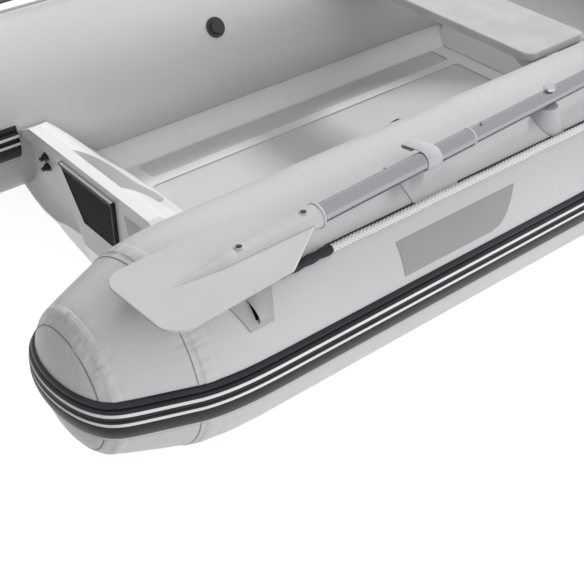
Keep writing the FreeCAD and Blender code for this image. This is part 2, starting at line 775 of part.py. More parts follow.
def bow_step():
    # raised step forward of the floor, with a sloping face; its underside lies in the liner's slab
    start = size("bow_step_start")
    run = size("bow_step_run")
    top = size("bow_step_top")
    sink = size("floor_lift") / 4
    wires = []
    rows = [row for row in hull_stations() if row[0] > start + run]
    for place, chine, turn in rows:
        lip = lip_point(turn, R - size("lip_lap"))
        low = chine.z + sink
        wires.append(closed_wire([Vec(place, lip.y, low), Vec(place, lip.y, top),
                                  Vec(place, -lip.y, top), Vec(place, -lip.y, low)]))
    body = Part.makeLoft(wires, True, True)
    place, chine, turn = rows[0]
    side = lip_point(turn, R - size("lip_lap")).y
    low = chine.z + sink
    profile = [Vec(place, -side, low), Vec(start, -side, low), Vec(start, -side, low + sink),
               Vec(start + run, -side, top), Vec(place, -side, top)]
    return body.fuse(prism(profile, Vec(0, 2 * side, 0)))


def panel(aft, forward, inner, outer, floor):
    corner = size("panel_corner")
    cutter = block(Vec(aft, inner, floor - size("panel_sink")), Vec(forward, outer, floor + SPARE))
    upright = [edge for edge in cutter.Edges if is_upright(edge)]
    return cutter.makeFillet(corner, upright)


def build_liner(hull):
    slab = liner_slab()
    ramp = ramp_block()
    whole = slab.fuse([ramp, mirrored(ramp), bow_step()])
    floor = chine_point(0, R + size("skin_thickness")).z + size("floor_lift")
    side = panel(size("side_panel_aft"), size("panel_forward"), size("side_panel_inner"),
                 size("side_panel_outer"), floor)
    middle = panel(size("mid_panel_aft"), size("panel_forward"), -size("mid_panel_half"),
                   size("mid_panel_half"), floor)
    whole = whole.cut(side).cut(mirrored(side)).cut(middle)
    whole = whole.cut(behind_transom(size("transom_thickness") + GAP)).cut(hull)
    feature("cockpit_liner", trim_to_tubes(whole))


# Transom: raked slab with a central box between two scooped recesses

def raked(across, up, depth=0.0):
    return Vec(FACE + depth - RAKE * (up - HEIGHT), across, up)


def scoop_height(across):
    # bottom of a recess at full depth: it rises towards the tube
    start = size("box_foot_half")
    share = (across - start) / (size("recess_reach") - start)
    return size("scoop_foot") + size("scoop_rise") * share ** size("scoop_power")


def recess():
    # mouth, shoulder and floor of one side recess, lofted into a scoop
    place, chine, turn = hull_stations()[0]
    lowest = size("recess_margin")
    under_tube = (size("recess_reach"), chine.z + (size("recess_reach") - chine.y) / 2)
    mouth = [(across, up + lowest) for across, up in [under_tube] + hull_half(place, chine)[:0:-1]]
    box = size("box_foot_half")
    keel_share = (box - size("keel_half_width")) / (size("rail_inner") - size("keel_half_width"))
    keel = -size("keel_depth") + keel_share * (size("keel_depth") - size("rail_inner_depth"))
    mouth.append((box, keel + lowest))
    shoulder = size("recess_shoulder")
    wires = []
    # shares of the recess's depth, of its upper edge's rounding and of the scoop's rise
    for depth, rounding, lift in [(-0.1, 0.0, 0.0), (0.65, 0.4, 0.3), (1.0, 1.0, 1.0)]:
        draft = size("recess_draft") * max(depth, 0)
        upper = size("recess_top") - shoulder * rounding
        points = [(size("box_top_half") + draft, upper), (size("flange_half"), upper),
                  (size("ear_half") + 2 * shoulder, upper - 3 * shoulder),
                  (size("recess_reach"), size("recess_reach_top"))]
        points += [(across, up + (scoop_height(across) - up) * lift) for across, up in mouth]
        points[-1] = (box + draft, points[-1][1])
        wires.append(closed_wire([raked(across, up, size("recess_depth") * depth) for across, up in points]))
    return Part.makeLoft(wires, True, False)


def build_transom():
    place, chine, turn = hull_stations()[0]
    reach = size("recess_reach")
    half = hull_half(place, chine)
    half += [(reach, chine.z + (reach - chine.y)), (reach, size("ear_height") - size("lip_lap")),
             (size("ear_half"), size("ear_height")), (size("flange_half"), size("transom_top"))]
    points = [raked(across, up) for across, up in half]
    points += [raked(-across, up) for across, up in reversed(half)]
    slab = trim_to_tubes(prism(points, Vec(size("transom_thickness"), 0, 0)))
    scoop = recess()
    feature("transom", slab.cut(scoop).cut(mirrored(scoop)))


def raked_placement(height, depth, facing_aft):
    lean = math.degrees(math.atan(RAKE))
    base = raked(0, height, depth)
    upward = Vec(-sine(lean), 0, cosine(lean))
    normal = Vec(-cosine(lean), 0, -sine(lean))
    if not facing_aft:
        normal = normal * -1
    return FreeCAD.Placement(base, FreeCAD.Rotation(upward.cross(normal), upward, normal, "ZXY"))


def raise_sketch(sketch, height):
    sketch.setExpression(".AttachmentOffset.Base.z", height)


def tapered_outline(low, high, tall, inset):
    # corners of the aft pad between two heights above its foot, drawn in from its sides
    def half(up):
        spread = "(Sizes.pad_top_half - Sizes.pad_foot_half)"
        return f"(Sizes.pad_foot_half + {spread} * ({up}) / ({tall}) - {inset})"

    return [(f"-{half(low)}", low), (half(low), low), (half(high), high), (f"-{half(high)}", high)]


def build_aft_pad():
    lean = cosine(math.degrees(math.atan(RAKE)))
    tall = f"(Sizes.pad_top - Sizes.pad_foot) / {lean:.6f}"
    body = new_body("aft_motor_pad")
    outline = new_sketch(body, "AftPadOutline", "XY_Plane")
    draw_outline(outline, tapered_outline("0", tall, tall, "0"))
    plate = pad(body, outline, "AftPadPlate", "Sizes.pad_thickness")
    document.recompute()
    face = max(range(len(plate.Shape.Faces)), key=lambda number: plate.Shape.Faces[number].CenterOfMass.z)
    bevel = body.newObject("PartDesign::Chamfer", "AftPadBevel")
    bevel.Base = (plate, [f"Face{face + 1}"])
    bevel.setExpression("Size", "Sizes.pad_bevel")
    lip = new_sketch(body, "AftPadLipOutline", "XY_Plane")
    draw_outline(lip, tapered_outline(f"{tall} - Sizes.pad_lip", tall, tall, "0"))
    pad(body, lip, "AftPadLip", "Sizes.pad_thickness + Sizes.pad_lip_proud")
    document.recompute()
    panel_outline = new_sketch(body, "AftPadPanelOutline", "XY_Plane")
    raise_sketch(panel_outline, "Sizes.pad_thickness")
    high = f"{tall} - Sizes.pad_lip - Sizes.pad_margin / 2"
    draw_outline(panel_outline, tapered_outline("Sizes.pad_margin", high, tall, "Sizes.pad_margin"))
    sunk = body.newObject("PartDesign::Pocket", "AftPadPanel")
    sunk.Profile = panel_outline
    sunk.setExpression("Length", "Sizes.pad_panel_sink")
    body.Placement = raked_placement(size("pad_foot"), -size("bond_gap"), True)


def build_inner_pad():
    lean = cosine(math.degrees(math.atan(RAKE)))
    rise = f"(Sizes.inner_pad_top - Sizes.inner_pad_foot) / {lean:.6f}"
    body = new_body("inner_motor_pad")
    outline = new_sketch(body, "InnerPadOutline", "XY_Plane")
    draw_outline(outline, [("-Sizes.inner_pad_half", "0"), ("Sizes.inner_pad_half", "0"),
                           ("Sizes.inner_pad_half", rise), ("-Sizes.inner_pad_half", rise)])
    pad(body, outline, "InnerPadPlate", "Sizes.inner_pad_thickness")
    seat = size("transom_thickness") + size("bond_gap")
    body.Placement = raked_placement(size("inner_pad_foot"), seat, False)


# Oars, each in its own frame: X forward along the oar from the rowlock pin

def oar_placement(side):
    turn = FreeCAD.Rotation(Vec(0, 0, 1), side * -size("oar_yaw"))
    tilt = FreeCAD.Rotation(Vec(0, 1, 0), -size("oar_pitch"))
    place = Vec(size("rowlock_place"), side * size("rowlock_side"), size("oar_height"))
    return FreeCAD.Placement(place, turn.multiply(tilt))


def build_blade(name, side):
    body = new_body(f"{name}_oar_blade")
    outline = new_sketch(body, f"{name}BladeOutline", "XY_Plane")
    draw_outline(outline, [("-Sizes.blade_root", "-Sizes.blade_root_half"),
                           ("-Sizes.blade_root", "Sizes.blade_root_half"),
                           ("-Sizes.blade_shoulder", "Sizes.blade_shoulder_half"),
                           ("-Sizes.blade_tip", "Sizes.blade_half"),
                           ("-Sizes.blade_tip", "-Sizes.blade_half"),
                           ("-Sizes.blade_shoulder", "-Sizes.blade_shoulder_half")])
    plate = pad(body, outline, f"{name}BladePlate", "Sizes.blade_thickness", symmetric=True)
    tip = -size("blade_tip")
    rounded = round_edges(body, plate, f"{name}BladeCorners", "Sizes.blade_corner",
                          lambda edge: is_upright(edge) and abs(edge.CenterOfMass.x - tip) < 1)
    shoulder = -size("blade_shoulder")
    softened = round_edges(body, rounded, f"{name}BladeShoulders", "Sizes.blade_corner / 2",
                           lambda edge: is_upright(edge) and abs(edge.CenterOfMass.x - shoulder) < 1)
    round_edges(body, softened, f"{name}BladeEdge", "Sizes.blade_edge",
                lambda edge: abs(edge.BoundBox.ZLength) < 0.01)
    document.recompute()
    ridge = new_sketch(body, f"{name}SocketProfile", "XZ_Plane")
    rim = "Sizes.socket_radius + Sizes.socket_rim"
    draw_outline(ridge, [("-Sizes.ridge_tip", "0"),
                         ("-Sizes.ridge_shoulder", "Sizes.ridge_shoulder_radius"),
                         ("-Sizes.socket_mouth - Sizes.socket_rim_length", "Sizes.socket_radius"),
                         ("-Sizes.socket_mouth - Sizes.socket_rim_length", rim),
                         ("-Sizes.socket_mouth", rim),
                         ("-Sizes.socket_mouth", "Sizes.shaft_radius + Sizes.slip_clearance"),
                         ("-Sizes.socket_mouth - Sizes.socket_depth",
                          "Sizes.shaft_radius + Sizes.slip_clearance"),
                         ("-Sizes.socket_mouth - Sizes.socket_depth", "0")])
    cone = revolve(body, ridge, f"{name}Socket")
    document.recompute()
    bore = new_sketch(body, f"{name}SocketBore", "XZ_Plane")
    reach = "Sizes.shaft_radius + Sizes.slip_clearance"
    draw_outline(bore, [("-Sizes.socket_mouth - Sizes.socket_depth", "0"),
                        ("-Sizes.socket_mouth - Sizes.socket_depth", reach),
                        ("-Sizes.socket_mouth + 1", reach), ("-Sizes.socket_mouth + 1", "0")])
    groove = body.newObject("PartDesign::Groove", f"{name}SocketHollow")
    groove.Profile = bore
    groove.ReferenceAxis = (bore, ["H_Axis"])
    groove.Angle = 360
    body.Placement = oar_placement(side)


def hollow_rod(start, end, radius, wall):
    rod = Part.makeCylinder(radius, end - start, Vec(start, 0, 0), Vec(1, 0, 0))
    return rod.cut(Part.makeCylinder(radius - wall, end - start, Vec(start, 0, 0), Vec(1, 0, 0)))


def pin_direction(side):
    # the pin stands upright, so in the oar's frame it leans back by the oar's pitch
    return oar_placement(side).Rotation.inverted().multVec(Vec(0, 0, 1))


def build_oar(name, side):
    build_blade(name, side)
    placement = oar_placement(side)
    shaft_start = -size("socket_mouth") - size("socket_depth") + size("end_clearance")
    shaft = hollow_rod(shaft_start, -size("shaft_end"), size("shaft_radius"), size("shaft_wall"))
    item = feature(f"{name}_oar_shaft", shaft)
    item.Placement = placement
    loom_end = size("handle_end") - size("grip_end_wall") - size("end_clearance")
    loom = hollow_rod(-size("shaft_end") - size("loom_overlap"), loom_end,
                      size("loom_radius"), size("loom_wall"))
    along = pin_direction(side)
    reach = 2 * size("loom_radius")
    hole = Part.makeCylinder(size("pin_radius") + size("pin_clearance"), 2 * reach, along * -reach, along)
    button = Part.makeCylinder(size("button_radius"), size("button_proud") + size("loom_wall") / 2,
                               Vec(-size("button_place"), 0, size("loom_radius") - size("loom_wall") / 2),
                               Vec(0, 0, 1))
    item = feature(f"{name}_oar_loom", loom.cut(hole).fuse(button))
    item.Placement = placement
    grip = new_body(f"{name}_oar_grip")
    profile = new_sketch(grip, f"{name}GripProfile", "XZ_Plane")
    start = "Sizes.handle_end - Sizes.grip_length"
    bore = "Sizes.loom_radius + Sizes.slip_clearance"
    collar = f"{start} + Sizes.grip_collar_length"
    draw_outline(profile, [(start, bore), (start, "Sizes.grip_collar_radius"),
                           (collar, "Sizes.grip_collar_radius"),
                           (f"{collar} + Sizes.grip_collar_taper", "Sizes.grip_radius"),
                           ("Sizes.handle_end - Sizes.grip_knob_start", "Sizes.grip_radius"),
                           ("Sizes.handle_end - Sizes.grip_knob_length", "Sizes.grip_knob_radius"),
                           ("Sizes.handle_end - Sizes.grip_end_round", "Sizes.grip_knob_radius"),
                           ("Sizes.handle_end", "Sizes.grip_end_radius"), ("Sizes.handle_end", "0"),
                           ("Sizes.handle_end - Sizes.grip_end_wall", "0"),
                           ("Sizes.handle_end - Sizes.grip_end_wall", bore)])
    revolve(grip, profile, f"{name}GripRound")
    grip.Placement = placement


# Rowlocks: moulded base on the tube and an upright pin through the loom

def build_rowlocks():
    place = Vec(size("rowlock_place"), -size("rowlock_side"), 0)
    top = size("oar_height") - size("loom_radius") - size("base_gap")
    foot = HEIGHT + size("base_foot")
    cone = Part.makeCone(size("base_foot_radius"), size("base_top_radius"), top - foot,
                         place + Vec(0, 0, foot))
    seat = Part.makeCylinder(size("pin_radius") + size("pin_clearance"), size("pin_depth"),
                             place + Vec(0, 0, top - size("pin_depth")))
    both_sides("rowlock_base", cone.cut(seat).cut(side_tube(GAP)))
    start = top - size("pin_depth")
    end = size("oar_height") + size("loom_radius") + size("base_gap")
    pin = Part.makeCylinder(size("pin_radius"), end - start, place + Vec(0, 0, start))
    cap = Part.makeCylinder(size("pin_cap_radius"), size("pin_cap_height"), place + Vec(0, 0, end))
    rim = [edge for edge in cap.Edges if edge.CenterOfMass.z > end + size("pin_cap_height") - 0.1]
    cap = cap.makeFillet(size("pin_cap_round"), rim)
    both_sides("rowlock_pin", pin.fuse(cap))


# Patches on the outboard side of the starboard tube, given by place and angle

def tube_patch(corners, middle, inner, outer):
    radial = Vec(0, -cosine(middle), sine(middle))
    upward = Vec(0, sine(middle), cosine(middle))
    axis = Vec(0, -OFFSET, HEIGHT)
    points = [axis + radial * (R * 0.5) + Vec(place, 0, 0) + upward * (R * sine(angle - middle))
              for place, angle in corners]
    plug = prism(points, radial * R)
    ring = Part.makeCylinder(R + outer, 2 * FAR, Vec(-FAR, -OFFSET, HEIGHT), Vec(1, 0, 0))
    ring = ring.cut(Part.makeCylinder(R + inner, 2 * FAR, Vec(-FAR, -OFFSET, HEIGHT), Vec(1, 0, 0)))
    return plug.common(ring)


# curved nose of the badge patches: shares of the way to its toe and of the way down
BADGE_NOSE = [(0.0, 0.0), (0.24, 0.39), (0.48, 0.725), (0.717, 0.922), (1.0, 1.0)]


def build_badges():
    top = size("badge_top_angle")
    foot = size("badge_foot_angle")
    corner = size("badge_forward")
    run = size("badge_toe") - corner
    nose = [(corner + run * along, top + (foot - top) * down) for along, down in BADGE_NOSE]
    corners = [(size("badge_aft"), top)] + nose + [(size("badge_aft"), foot)]
    both_sides("badge_patch", tube_patch(corners, (top + foot) / 2, GAP, size("badge_thickness")))


def rope_line(start, end, radius, lift):
    angle = size("rope_angle")
    reach = R + lift
    base = Vec(start, -OFFSET - reach * cosine(angle), HEIGHT + reach * sine(angle))
    return Part.makeCylinder(radius, end - start, base, Vec(1, 0, 0))


def rope_lift():
    return size("rope_radius") + size("patch_thickness")


def build_lifelines():
    lift = rope_lift()
    both_sides("lifeline", rope_line(size("rope_aft"), size("rope_forward"), size("rope_radius"), lift))
    radius = size("sleeve_radius")
    sleeve = rope_line(size("sleeve_aft"), size("rope_aft") - GAP, radius, lift)
    count = int((size("rope_aft") - size("sleeve_aft")) / size("sleeve_pitch"))
    ribs = []
    for index in range(count):
        start = size("sleeve_aft") + size("sleeve_pitch") * (index + 0.25)
        ribs.append(rope_line(start, start + size("sleeve_pitch") / 2, radius + size("sleeve_rib"), lift))
    sleeve = sleeve.fuse(ribs).cut(side_tube(size("patch_thickness") + GAP))
    both_sides("lifeline_sleeve", sleeve)
    both_sides("rope_eyes", Part.makeCompound([rope_eye(size("eye_aft_place"), 1),
                                               rope_eye(size("eye_forward_place"), -1)]))


def rope_eye(place, facing):
    # diamond patch with a half-round hood; the rope's end stops inside its open side
    tip = size("eye_patch_half")
    flat = size("eye_patch_flat")
    level = size("rope_angle") - size("eye_patch_tip_drop")
    low = size("rope_angle") - size("eye_patch_below")
    high = size("rope_angle") + size("eye_patch_above")
    corners = [(place - tip, level), (place - flat, low), (place + flat, low),
               (place + tip, level), (place + flat, high), (place - flat, high)]
    patch = tube_patch(corners, size("rope_angle"), GAP, size("patch_thickness"))
    half = size("eye_length") / 2
    hood = rope_line(place - half, place + half, size("eye_radius"), rope_lift())
    ends = sorted([place + facing * half, place + facing * (half - size("eye_bore_depth"))])
    hood = hood.cut(rope_line(ends[0], ends[1], size("eye_bore"), rope_lift()))
    return patch.fuse(hood.cut(side_tube(size("patch_thickness") / 2)))


# Straps that hold the stowed oars down, on a patch of their own

def shaft_centre(place):
    along = oar_placement(-1).Rotation.multVec(Vec(1, 0, 0))
    start = oar_placement(-1).Base
    return start + along * ((place - start.x) / along.x)


def build_straps():
    place = size("strap_place")
    half = size("strap_width") / 2
    centre = shaft_centre(place)
    inner = size("shaft_radius") + size("strap_clearance")
    outer = inner + size("strap_thickness")
    start = Vec(place - half, centre.y, centre.z)
    loop = Part.makeCylinder(outer, 2 * half, start, Vec(1, 0, 0))
    legs = block(Vec(place - half, centre.y - outer, HEIGHT),
                 Vec(place + half, centre.y + outer, centre.z))
    tab = block(Vec(place - half, centre.y, centre.z + inner - size("strap_thickness")),
                Vec(place + half, centre.y + outer + size("strap_tab"), centre.z + outer))
    channel = block(Vec(place - half, centre.y - inner, HEIGHT),
                    Vec(place + half, centre.y + inner, centre.z))
    hollow = Part.makeCylinder(inner, 2 * half, start, Vec(1, 0, 0))
    base = side_tube(size("patch_thickness") + GAP)
    strap = loop.fuse([legs, tab]).cut(hollow).cut(channel).cut(base)
    both_sides("oar_strap", strap)
    side = size("strap_patch_half")
    foot = size("strap_patch_foot_half")
    corners = [(place - side, size("strap_patch_corner")), (place - foot, size("strap_patch_foot")),
               (place + foot, size("strap_patch_foot")), (place + side, size("strap_patch_corner")),
               (place + side, size("strap_patch_top")), (place - side, size("strap_patch_top"))]
    middle = (size("strap_patch_foot") + size("strap_patch_top")) / 2
    both_sides("strap_patch", tube_patch(corners, middle, GAP, size("patch_thickness")))


# Thwart on four saddles

def build_thwart():
    body = new_body("thwart")
    sketch = new_sketch(body, "ThwartOutline", "XY_Plane")
    fore = "Sizes.seat_width / 2"
    tube = "Sizes.tube_offset - sqrt(Sizes.tube_radius^2 - (Sizes.seat_height - Sizes.tube_height)^2)"
    end = f"({tube} - Sizes.seat_end_clearance)"
    draw_outline(sketch, [(f"-{fore}", f"-{end}"), (fore, f"-{end}"),
                          (fore, end), (f"-{fore}", end)])
    board = pad(body, sketch, "ThwartBoard", "Sizes.seat_thickness")
    corners = round_edges(body, board, "ThwartCorners", "Sizes.seat_corner", is_upright)
    round_edges(body, corners, "ThwartEdges", "Sizes.seat_edge",
                lambda edge: abs(edge.BoundBox.ZLength) < 0.01)
    body.Placement.Base = Vec(size("seat_middle"), 0, size("seat_height"))
    top = size("seat_height") - GAP
    shelf = size("saddle_shelf")
    lap = size("saddle_lap")
    outer = OFFSET - math.sqrt(R ** 2 - (top - HEIGHT) ** 2) + lap
    saddles = []
    for step in (-0.5, 0.5):
        middle = size("seat_middle") + step * size("saddle_spacing")
        aft = middle - size("saddle_width") / 2
        points = [Vec(aft, -outer, top), Vec(aft, -outer + shelf + lap, top),
                  Vec(aft, -outer + shelf + lap, top - size("saddle_edge")),
                  Vec(aft, -outer - lap / 2, top - size("saddle_drop"))]
        saddles.append(prism(points, Vec(size("saddle_width"), 0, 0)).cut(side_tube(GAP)))
    both_sides("thwart_saddles", Part.makeCompound(saddles))


# Fittings: bow handle, air valves and towing eye

def build_bow_handle():
    # a rod bent into a grab handle, on a round foot at each end
    centre, forward, outward, upward = bow_path(90)
    half = size("handle_span") / 2
    bend = size("handle_bend")
    top = centre.z + R
    crown = top + size("handle_rise")
    foot = top - size("handle_foot_rise")

    def at(across, up):
        return Vec(centre.x, across, up)

    def corner(side):
        middle = at(side * (half - bend * (1 - cosine(45))), crown - bend * (1 - sine(45)))
        return [at(side * half, crown - bend), middle, at(side * (half - bend), crown)]

    port = corner(1)
    starboard = corner(-1)
    path = Part.Wire([Part.LineSegment(at(-half, foot), starboard[0]).toShape(),
                      Part.Arc(*starboard).toShape(),
                      Part.LineSegment(starboard[2], port[2]).toShape(),
                      Part.Arc(*reversed(port)).toShape(),
                      Part.LineSegment(port[0], at(half, foot)).toShape()])
    section = Part.Wire([Part.makeCircle(size("handle_wire"), at(-half, foot), Vec(0, 0, 1))])
    handle = path.makePipeShell([section], True, False)
    radius = size("handle_foot_radius")
    tall = radius + size("handle_foot_rise")
    feet = [Part.makeCylinder(radius, tall, at(side * half, top - radius)) for side in (-1, 1)]
    feature("bow_handle", handle.fuse(feet).cut(bow_tube(GAP)))


def valve_shape():
    flange = size("valve_flange")
    seat = size("valve_seat")
    body = Part.makeCylinder(size("valve_radius"), flange + seat, Vec(0, 0, -seat))
    cap = Part.makeCone(size("valve_cap_radius"), size("valve_cap_radius") - size("valve_cap_draft"),
                        size("valve_rise") - flange, Vec(0, 0, flange))
    return body.fuse(cap)


def build_valves():
    angle = size("valve_angle")
    place = Vec(size("valve_place"), -OFFSET + R * cosine(angle), HEIGHT + R * sine(angle))
    valve = valve_shape()
    valve.Placement = FreeCAD.Placement(place, FreeCAD.Rotation(Vec(0, 0, 1),
                                                                Vec(0, cosine(angle), sine(angle))))
    both_sides("air_valve", valve.cut(side_tube(GAP)))
    centre, forward, outward, upward = bow_path(62)
    reach = (upward * sine(angle) - outward * cosine(angle)).normalize()
    valve = valve_shape()
    valve.Placement = FreeCAD.Placement(centre + reach * R, FreeCAD.Rotation(Vec(0, 0, 1), reach))
    feature("bow_air_valve", valve.cut(bow_tube(GAP)))


def build_towing_eye(hull):
    place = size("tow_place")
    keel = keel_height(place)
    centre = Vec(place, -size("tow_thickness") / 2, keel - size("tow_hole") - size("tow_wall"))
    ring = Part.makeCylinder(size("tow_radius"), size("tow_thickness"), centre, Vec(0, 1, 0))
    half = size("tow_web_half")
    web = block(Vec(place - half, -size("tow_thickness") / 2, centre.z + size("tow_hole") / 2),
                Vec(place + half, size("tow_thickness") / 2, keel + size("tow_web_lap")))
    hole = Part.makeCylinder(size("tow_hole"), size("tow_thickness"), centre, Vec(0, 1, 0))
    feature("towing_eye", ring.fuse(web).cut(hole).cut(hull))


build_tubes()
build_strakes()
hull = build_hull()
build_liner(hull)
build_transom()
build_aft_pad()
build_inner_pad()
build_oar("starboard", -1)
build_oar("port", 1)
build_rowlocks()
build_badges()
build_lifelines()
build_straps()
build_thwart()
build_bow_handle()
build_valves()
build_towing_eye(hull)

# Checks, then one file for each sub-part

document.recompute()
for item in document.Objects:
    if "Invalid" in item.State or "Error" in item.State:
        raise RuntimeError(f"{item.Label} did not build: {item.State}")
for item in made:
    if item.Shape.isNull() or not item.Shape.isValid() or item.Shape.Volume <= 0:
        raise RuntimeError(f"{item.Label} has no valid shape")
os.makedirs("parts", exist_ok=True)
for item in made:
    item.Shape.exportStep(f"parts/{item.Label}.step")
    box = item.Shape.BoundBox
    print(f"{item.Label}: {len(item.Shape.Solids)} solids, {item.Shape.Volume / 1e6:.3f} litres, "
          f"{box.XLength:.0f} x {box.YLength:.0f} x {box.ZLength:.0f} mm")
print(f"{len(made)} sub-parts")
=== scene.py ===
# Rowing dinghy: finishes, small pieces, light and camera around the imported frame.
# Metres. +X is the bow, +Y is port, and the waterline is at height zero.
import bpy
import bmesh
import math
from mathutils import Matrix, Vector


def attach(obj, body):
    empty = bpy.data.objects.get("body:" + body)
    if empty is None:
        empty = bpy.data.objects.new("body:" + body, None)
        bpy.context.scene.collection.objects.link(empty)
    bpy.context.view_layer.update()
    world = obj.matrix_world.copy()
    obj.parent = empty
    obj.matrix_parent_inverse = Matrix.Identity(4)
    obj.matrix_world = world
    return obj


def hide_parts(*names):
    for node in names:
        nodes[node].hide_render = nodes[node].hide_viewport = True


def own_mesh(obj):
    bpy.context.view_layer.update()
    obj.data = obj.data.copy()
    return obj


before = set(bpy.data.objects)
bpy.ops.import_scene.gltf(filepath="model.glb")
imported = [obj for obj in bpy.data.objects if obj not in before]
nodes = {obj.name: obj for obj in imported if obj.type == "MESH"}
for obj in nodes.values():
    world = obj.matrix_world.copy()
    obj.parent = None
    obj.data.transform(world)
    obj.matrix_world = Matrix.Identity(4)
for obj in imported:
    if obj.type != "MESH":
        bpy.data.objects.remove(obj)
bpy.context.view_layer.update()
scene = bpy.context.scene
sides = {"starboard": -1, "port": 1}

# places of the tubes, as the frame has them
tube = {
    "radius": 0.210, "offset": 0.523, "height": 0.215,
    "taperStart": -0.903, "taperPower": 3.5,
    "coneSeam": -1.111, "coneSeamRadius": 0.192, "coneSlope": 0.38,
    "capSeam": -1.267, "shoulderDrop": 0.0134, "shoulderPower": 10.5,
    "coneSwell": 1.06, "tailTip": -1.300, "capLength": 0.070,
    "bowStart": 0.400, "bowReach": 0.690, "bowSheer": 0.100,
}


# Selecting and finishing pieces

mergeDistance = 0.000005


def clearSelection():
    if bpy.context.object and bpy.context.object.mode != "OBJECT":
        bpy.ops.object.mode_set(mode="OBJECT")
    bpy.ops.object.select_all(action="DESELECT")


def selectOnly(piece):
    clearSelection()
    piece.select_set(True)
    bpy.context.view_layer.objects.active = piece


def editWhole():
    bpy.ops.object.mode_set(mode="EDIT")
    bpy.ops.mesh.select_all(action="SELECT")


def applyPlace():
    # the place, turn and scale of what is selected go into its mesh
    bpy.ops.object.transform_apply(location=True, rotation=True, scale=True)


def addModifier(piece, kind, **values):
    selectOnly(piece)
    bpy.ops.object.modifier_add(type=kind)
    modifier = piece.modifiers[-1]
    for key, value in values.items():
        setattr(modifier, key, value)


def applyModifiers(piece):
    selectOnly(piece)
    for modifier in list(piece.modifiers):
        bpy.ops.object.modifier_apply(modifier=modifier.name)


def setMaterial(piece, material):
    piece.data.materials.clear()
    piece.data.materials.append(material)


def joinPieces(parts):
    # several meshes become one piece
    clearSelection()
    for part in parts:
        part.select_set(True)
    bpy.context.view_layer.objects.active = parts[0]
    if len(parts) > 1:
        bpy.ops.object.join()
    return bpy.context.view_layer.objects.active


def finishPiece(piece, name, finish, smoothAngle, replaced=(), body="boat"):
    applyModifiers(piece)
    applyPlace()
    editWhole()
    bpy.ops.mesh.remove_doubles(threshold=mergeDistance)
    bpy.ops.mesh.normals_make_consistent(inside=False)
    bpy.ops.object.mode_set(mode="OBJECT")
    bpy.ops.object.shade_smooth_by_angle(angle=math.radians(smoothAngle))
    piece.name = name
    setMaterial(piece, materials[finish])
    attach(piece, body)
    if replaced:
        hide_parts(*replaced)


# Materials: helpers

def newMaterial(name, colour, roughness, metallic=0.0, specular=0.5):
    material = bpy.data.materials.new(name)
    material.use_nodes = True
    shader = material.node_tree.nodes["Principled BSDF"]
    shader.inputs["Base Color"].default_value = (*colour, 1.0)
    shader.inputs["Roughness"].default_value = roughness
    shader.inputs["Metallic"].default_value = metallic
    shader.inputs["Specular IOR Level"].default_value = specular
    return material, material.node_tree, shader


def addNode(tree, kind, **values):
    node = tree.nodes.new(kind)
    for key, value in values.items():
        if hasattr(node, key):
            setattr(node, key, value)
        else:
            node.inputs[key].default_value = value
    return node


def feed(tree, socket, value):
    # a plain number, a colour or another node's output goes into the socket
    if isinstance(value, float):
        socket.default_value = value
    elif isinstance(value, tuple):
        socket.default_value = (*value, 1.0)
    else:
        tree.links.new(value, socket)


def feedNode(tree, kind, *values, **settings):
    # the new node's inputs are fed in order; the call gives its first output
    node = addNode(tree, kind, **settings)
    for socket, value in zip(node.inputs, values):
        feed(tree, socket, value)
    return node.outputs[0]


def objectPlace(tree, scale=(1.0, 1.0, 1.0)):
    # Object coordinates, stretched for grain that runs one way
    coordinates = addNode(tree, "ShaderNodeTexCoord")
    return feedNode(tree, "ShaderNodeMapping", coordinates.outputs["Object"], Scale=scale)


def noise(tree, place, scale, detail):
    return feedNode(tree, "ShaderNodeTexNoise", place, Scale=scale, Detail=detail, Roughness=0.55)


def remap(tree, value, fromLow, fromHigh, toLow, toHigh):
    return feedNode(tree, "ShaderNodeMapRange", value, fromLow, fromHigh, toLow, toHigh)


def combine(tree, operation, *values):
    return feedNode(tree, "ShaderNodeMath", *values, operation=operation)


def mixColours(tree, factor, first, second):
    mix = addNode(tree, "ShaderNodeMix", data_type="RGBA")
    for index, value in ((0, factor), (6, first), (7, second)):
        feed(tree, mix.inputs[index], value)
    return mix.outputs[2]


def dress(tree, shader, colour, normal=None):
    tree.links.new(colour, shader.inputs["Base Color"])
    if normal is not None:
        tree.links.new(normal, shader.inputs["Normal"])


def blotches(tree, value, low, high, colour, shade, most=1.0):
    # the colour drifts towards the shade as the value goes from low to high
    return mixColours(tree, remap(tree, value, low, high, 0.0, most), colour, shade)


def varyGloss(tree, shader, value, roughness, below, above):
    tree.links.new(remap(tree, value, 0.3, 0.7, roughness - below, roughness + above),
                   shader.inputs["Roughness"])


def bumpFrom(tree, height, distance, strength, under=None):
    bump = addNode(tree, "ShaderNodeBump", Strength=strength, Distance=distance)
    tree.links.new(height, bump.inputs["Height"])
    if under is not None:
        tree.links.new(under, bump.inputs["Normal"])
    return bump.outputs["Normal"]


# Materials of the boat

fabricSettings = {
    "grime": 2.3, "mottle": 38.0, "mottleShare": 0.25, "weave": 900.0, "weaveDepth": 0.00006,
    "softWave": 9.0, "softDepth": 0.0030,
    # middle and reach of the folds beside each seam of the tail
    "seams": ((tube["coneSeam"] + 0.014, 0.050), (tube["capSeam"] + 0.015, 0.034)),
    "folds": 48.0, "foldStretch": 0.16, "foldDepth": 0.011,
}


